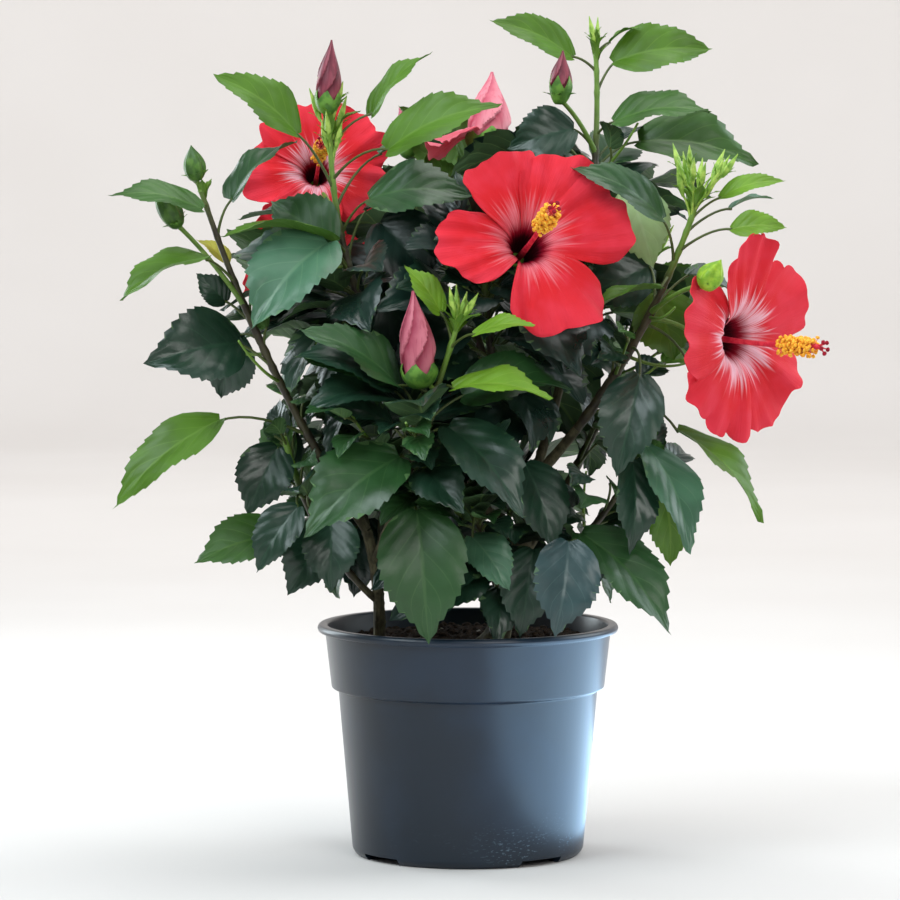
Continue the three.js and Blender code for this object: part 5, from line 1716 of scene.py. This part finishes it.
calyx_green = speckled("calyx_green", paint(104, 150, 58), paint(70, 114, 42), 0.45, 180.0, 0.0006)
# Each roll: the petal's colour at its edge, then a darker one that paints shade in the folds and colours the
# fine lines
BUD_FINISHES = {
    "rose": roll_finish("rose_roll", paint(196, 108, 124), paint(146, 44, 70)),
    "pink": roll_finish("pink_roll", paint(232, 138, 152), paint(200, 78, 104)),
    "dark": roll_finish("dark_roll", paint(142, 66, 80), paint(88, 22, 40)),
    "green": speckled("green_bud", paint(84, 122, 48), paint(56, 90, 36), 0.45, 180.0, 0.0006),
    "lime": speckled("lime_bud", paint(150, 188, 50), paint(112, 156, 38), 0.45, 180.0, 0.0006),
}
for body, shapes in bud_bodies.items():
    make_piece(f"buds_{body}", shapes, [BUD_FINISHES[body]], sharp=40)
make_piece("calyces", calyces, [calyx_green], sharp=60)

# %% [markdown]
# ## Shoot tips
# At the ends of most canes, young leaves still stand folded together round slender buds. They are the same
# leaf shape, only narrow, deeply folded and nearly upright, in a yellow-green. The buds stand on stalks of
# their own that fan out from the tip.

# %% Young leaves and slender buds at the tips
# cane: (narrow leaves, their length, how upright they stand, slender buds, their stalks, where those leave)
TIPS = {
    "right": (7, 20, 1.6, 15, 22, 0.93), "top_left": (9, 22, 3.4, 11, 12, 0.87),
    "top_right": (9, 16, 4.2, 2, 2, 0.96), "front": (10, 20, 1.2, 4, 7, 0.98), "left": (4, 14, 1.6, 0, 0, 1),
    "middle": (4, 12, 1.6, 0, 0, 1), "back": (8, 22, 2.0, 3, 9, 0.98), "back_left": (8, 20, 2.0, 3, 9, 0.98),
    "back_right": (8, 22, 2.0, 3, 9, 0.98), "inner": (6, 20, 2.0, 1, 8, 0.98),
    "low_back": (5, 16, 1.5, 0, 0, 1),
}
plump = lambda h: 1.7 * np.sin(np.pi * np.clip(h, 0.03, 1) ** 0.7) ** 0.8 * (1 - 0.5 * h**3) + 0.2
spears, slender = [], []
for number, (name, (count, long, rise, buds, reach, leaving)) in enumerate(TIPS.items()):
    curve = canes[name].curve
    axis = unit(tangent(curve, 1.0) + UP)
    draw = chance(3000 + 7 * number)
    for k in range(count):
        out = spun(axis, k * GOLDEN_TURN)
        share = (k + 0.5) / count
        way = unit(out + axis * between(1.0, rise, 1 - share) * draw(0.8, 1.25))
        size = long * between(0.6, 1.0, share) * draw(0.85, 1.15)
        spears.append({"base": on_curve(curve, 1 - 0.05 * share) + out * 1.2, "blade": way * size,
                       "width": size * draw(0.26, 0.4), "face": axis - out * 0.5, "fold": draw(0.5, 1.0)})
    for k in range(buds):
        out = spun(axis, 60 + k * GOLDEN_TURN)
        root = on_curve(curve, between(leaving, 0.99, (k + 0.5) / buds))
        way = unit(out * draw(0.35, 0.85) * min(1, 2.2 / rise) + axis)
        foot = root + way * reach * draw(0.5, 1.15)
        end = foot + unit(way + 0.3 * axis) * draw(15, 23)
        slender.append(spindle(foot, end, plump, 12, 15, ribbed(0.14)))
        slender.append(stalk_shapes(root[None], (foot + way)[None], axis[None], (0.75, 0.65), tone=0.9))
        spears += narrow_leaves(foot, way, 4, 11.0, 1.3, 2.6, k, 0.7)
slender_green = speckled("slender_bud", paint(176, 206, 96), paint(126, 168, 62), 0.45, 240.0, 0.0004)
spear_green = tint_finishes("spear", "lime")
make_piece("young_leaves", [leaf_shapes(spears, 4, False, 61)], spear_green)
make_piece("bracts", [leaf_shapes(bracts, 4, False, 62)], [calyx_green, calyx_green])
make_piece("slender_buds", slender, [slender_green], sharp=70)

# %% [markdown]
# ## The stage
# A round sweep of pale board, floor and wall in one, wide enough for a camera on any side. Broad soft lamps
# hang above, one more lights the wall, and a pale surround fills the shadows. The long blue glow on the pot
# comes from panels on the floor that shine on nothing else.

# %% Backdrop
SWEEP = Named(radius=4.2, bend=0.9, top=3.0, inner=0.4, sides=96, steps=14)


def board_finish():
    """Pale matt board with a slow mottling."""
    look = Finish("pale_board", Roughness=0.9, Specular_IOR_Level=0.2)
    shade = look.mixed(look.noise(3.0, 2.0), paint(216, 212, 210), paint(208, 203, 200))
    look.set("Base Color", shade)
    return look.material


def backdrop():
    """A round floor that bends up into a wall along a quarter circle."""
    angle = np.linspace(0, np.pi / 2, SWEEP.steps)
    flat = SWEEP.radius - SWEEP.bend
    radius = np.concatenate([[SWEEP.inner, flat / 2], flat + SWEEP.bend * np.sin(angle), [SWEEP.radius]])
    height = np.concatenate([[0, 0], SWEEP.bend * (1 - np.cos(angle)), [SWEEP.top]])
    turn = ring_turns(SWEEP.sides)
    rings = [[(r * math.cos(a), r * math.sin(a), z) for a in turn] for r, z in zip(radius, height)]
    ring = np.arange(len(radius) * SWEEP.sides).reshape(len(radius), -1)
    after = np.roll(ring, -1, axis=1)
    quads = np.stack([ring[:-1], ring[1:], after[1:], after[:-1]], -1).reshape(-1, 4)
    mesh = bpy.data.meshes.new("backdrop")
    mesh.from_pydata(sum(rings, []), [], [ring[0].tolist(), *quads.tolist()])
    mesh.shade_smooth()
    mesh.materials.append(board_finish())
    board = bpy.data.objects.new("backdrop", mesh)
    bpy.context.scene.collection.objects.link(board)


backdrop()

# %% Lights
COOL, BLUE, NEUTRAL = (0.84, 0.95, 1.0), (0.42, 0.7, 1.0), (1.0, 0.99, 0.97)
# Name, place, the point it looks at, size, power, tint
LAMPS = [
    ("key", (-1.3, -1.1, 1.9), (0, 0, 0.3), (1.5, 1.5), 44, COOL),
    ("front", (0.9, -2.1, 1.3), (0, 0, 0.28), (1.2, 1.2), 19, NEUTRAL),
    ("left_window", (-0.9, 0.75, 0.45), (0, 0, 0.15), (0.45, 0.9), 8, COOL),
    ("right_window", (1.0, 0.3, 0.7), (0, 0, 0.2), (0.8, 0.8), 8, COOL),
    ("top", (0.2, 0.2, 1.9), (0, 0, 0.3), (1.4, 1.4), 18, NEUTRAL),
    ("wall_lamp", (0, 1.6, 2.6), (0, 4.2, 0.6), (3.0, 0.8), 85, NEUTRAL),
]
FLOOR_PANELS = [
    ("floor_panel", (0.42, -0.26, 0.004), (0.42, -0.26, 1), (0.66, 0.26), 1.9, BLUE),
    ("floor_panel", (0.42, 0.12, 0.004), (0.42, 0.12, 1), (0.66, 0.5), 5.0, BLUE),
]


def soft_light(name, place, aim, size, power, tint):
    """A rectangular soft light that looks from a place at a point."""
    lamp = bpy.data.lights.new(name, "AREA")
    lamp.shape = "RECTANGLE"
    lamp.size, lamp.size_y = size
    lamp.energy = power
    lamp.color = tint
    light = bpy.data.objects.new(name, lamp)
    bpy.context.scene.collection.objects.link(light)
    light.location = place
    light.visible_camera = False
    way = np.asarray(aim, float) - np.asarray(place, float)
    yaw = math.atan2(way[1], way[0]) - math.pi / 2 if way[:2].any() else 0
    pitch = math.atan2(way[2], math.hypot(way[0], way[1])) + math.pi / 2
    light.rotation_euler = (pitch, 0, yaw)
    return light


for lamp in LAMPS:
    soft_light(*lamp)
on_pot = bpy.data.collections.new("lit_by_floor_panels")
on_pot.objects.link(pot)
for panel in FLOOR_PANELS:
    soft_light(*panel).light_linking.receiver_collection = on_pot
world = bpy.data.worlds.new("surround")
bpy.context.scene.world = world
world.use_nodes = True
surround = world.node_tree.nodes["Background"].inputs
surround["Color"].default_value = paint(226, 240, 250)
surround["Strength"].default_value = 0.27
print("lamps:", len(LAMPS), "floor panels:", len(FLOOR_PANELS))

# %% [markdown]
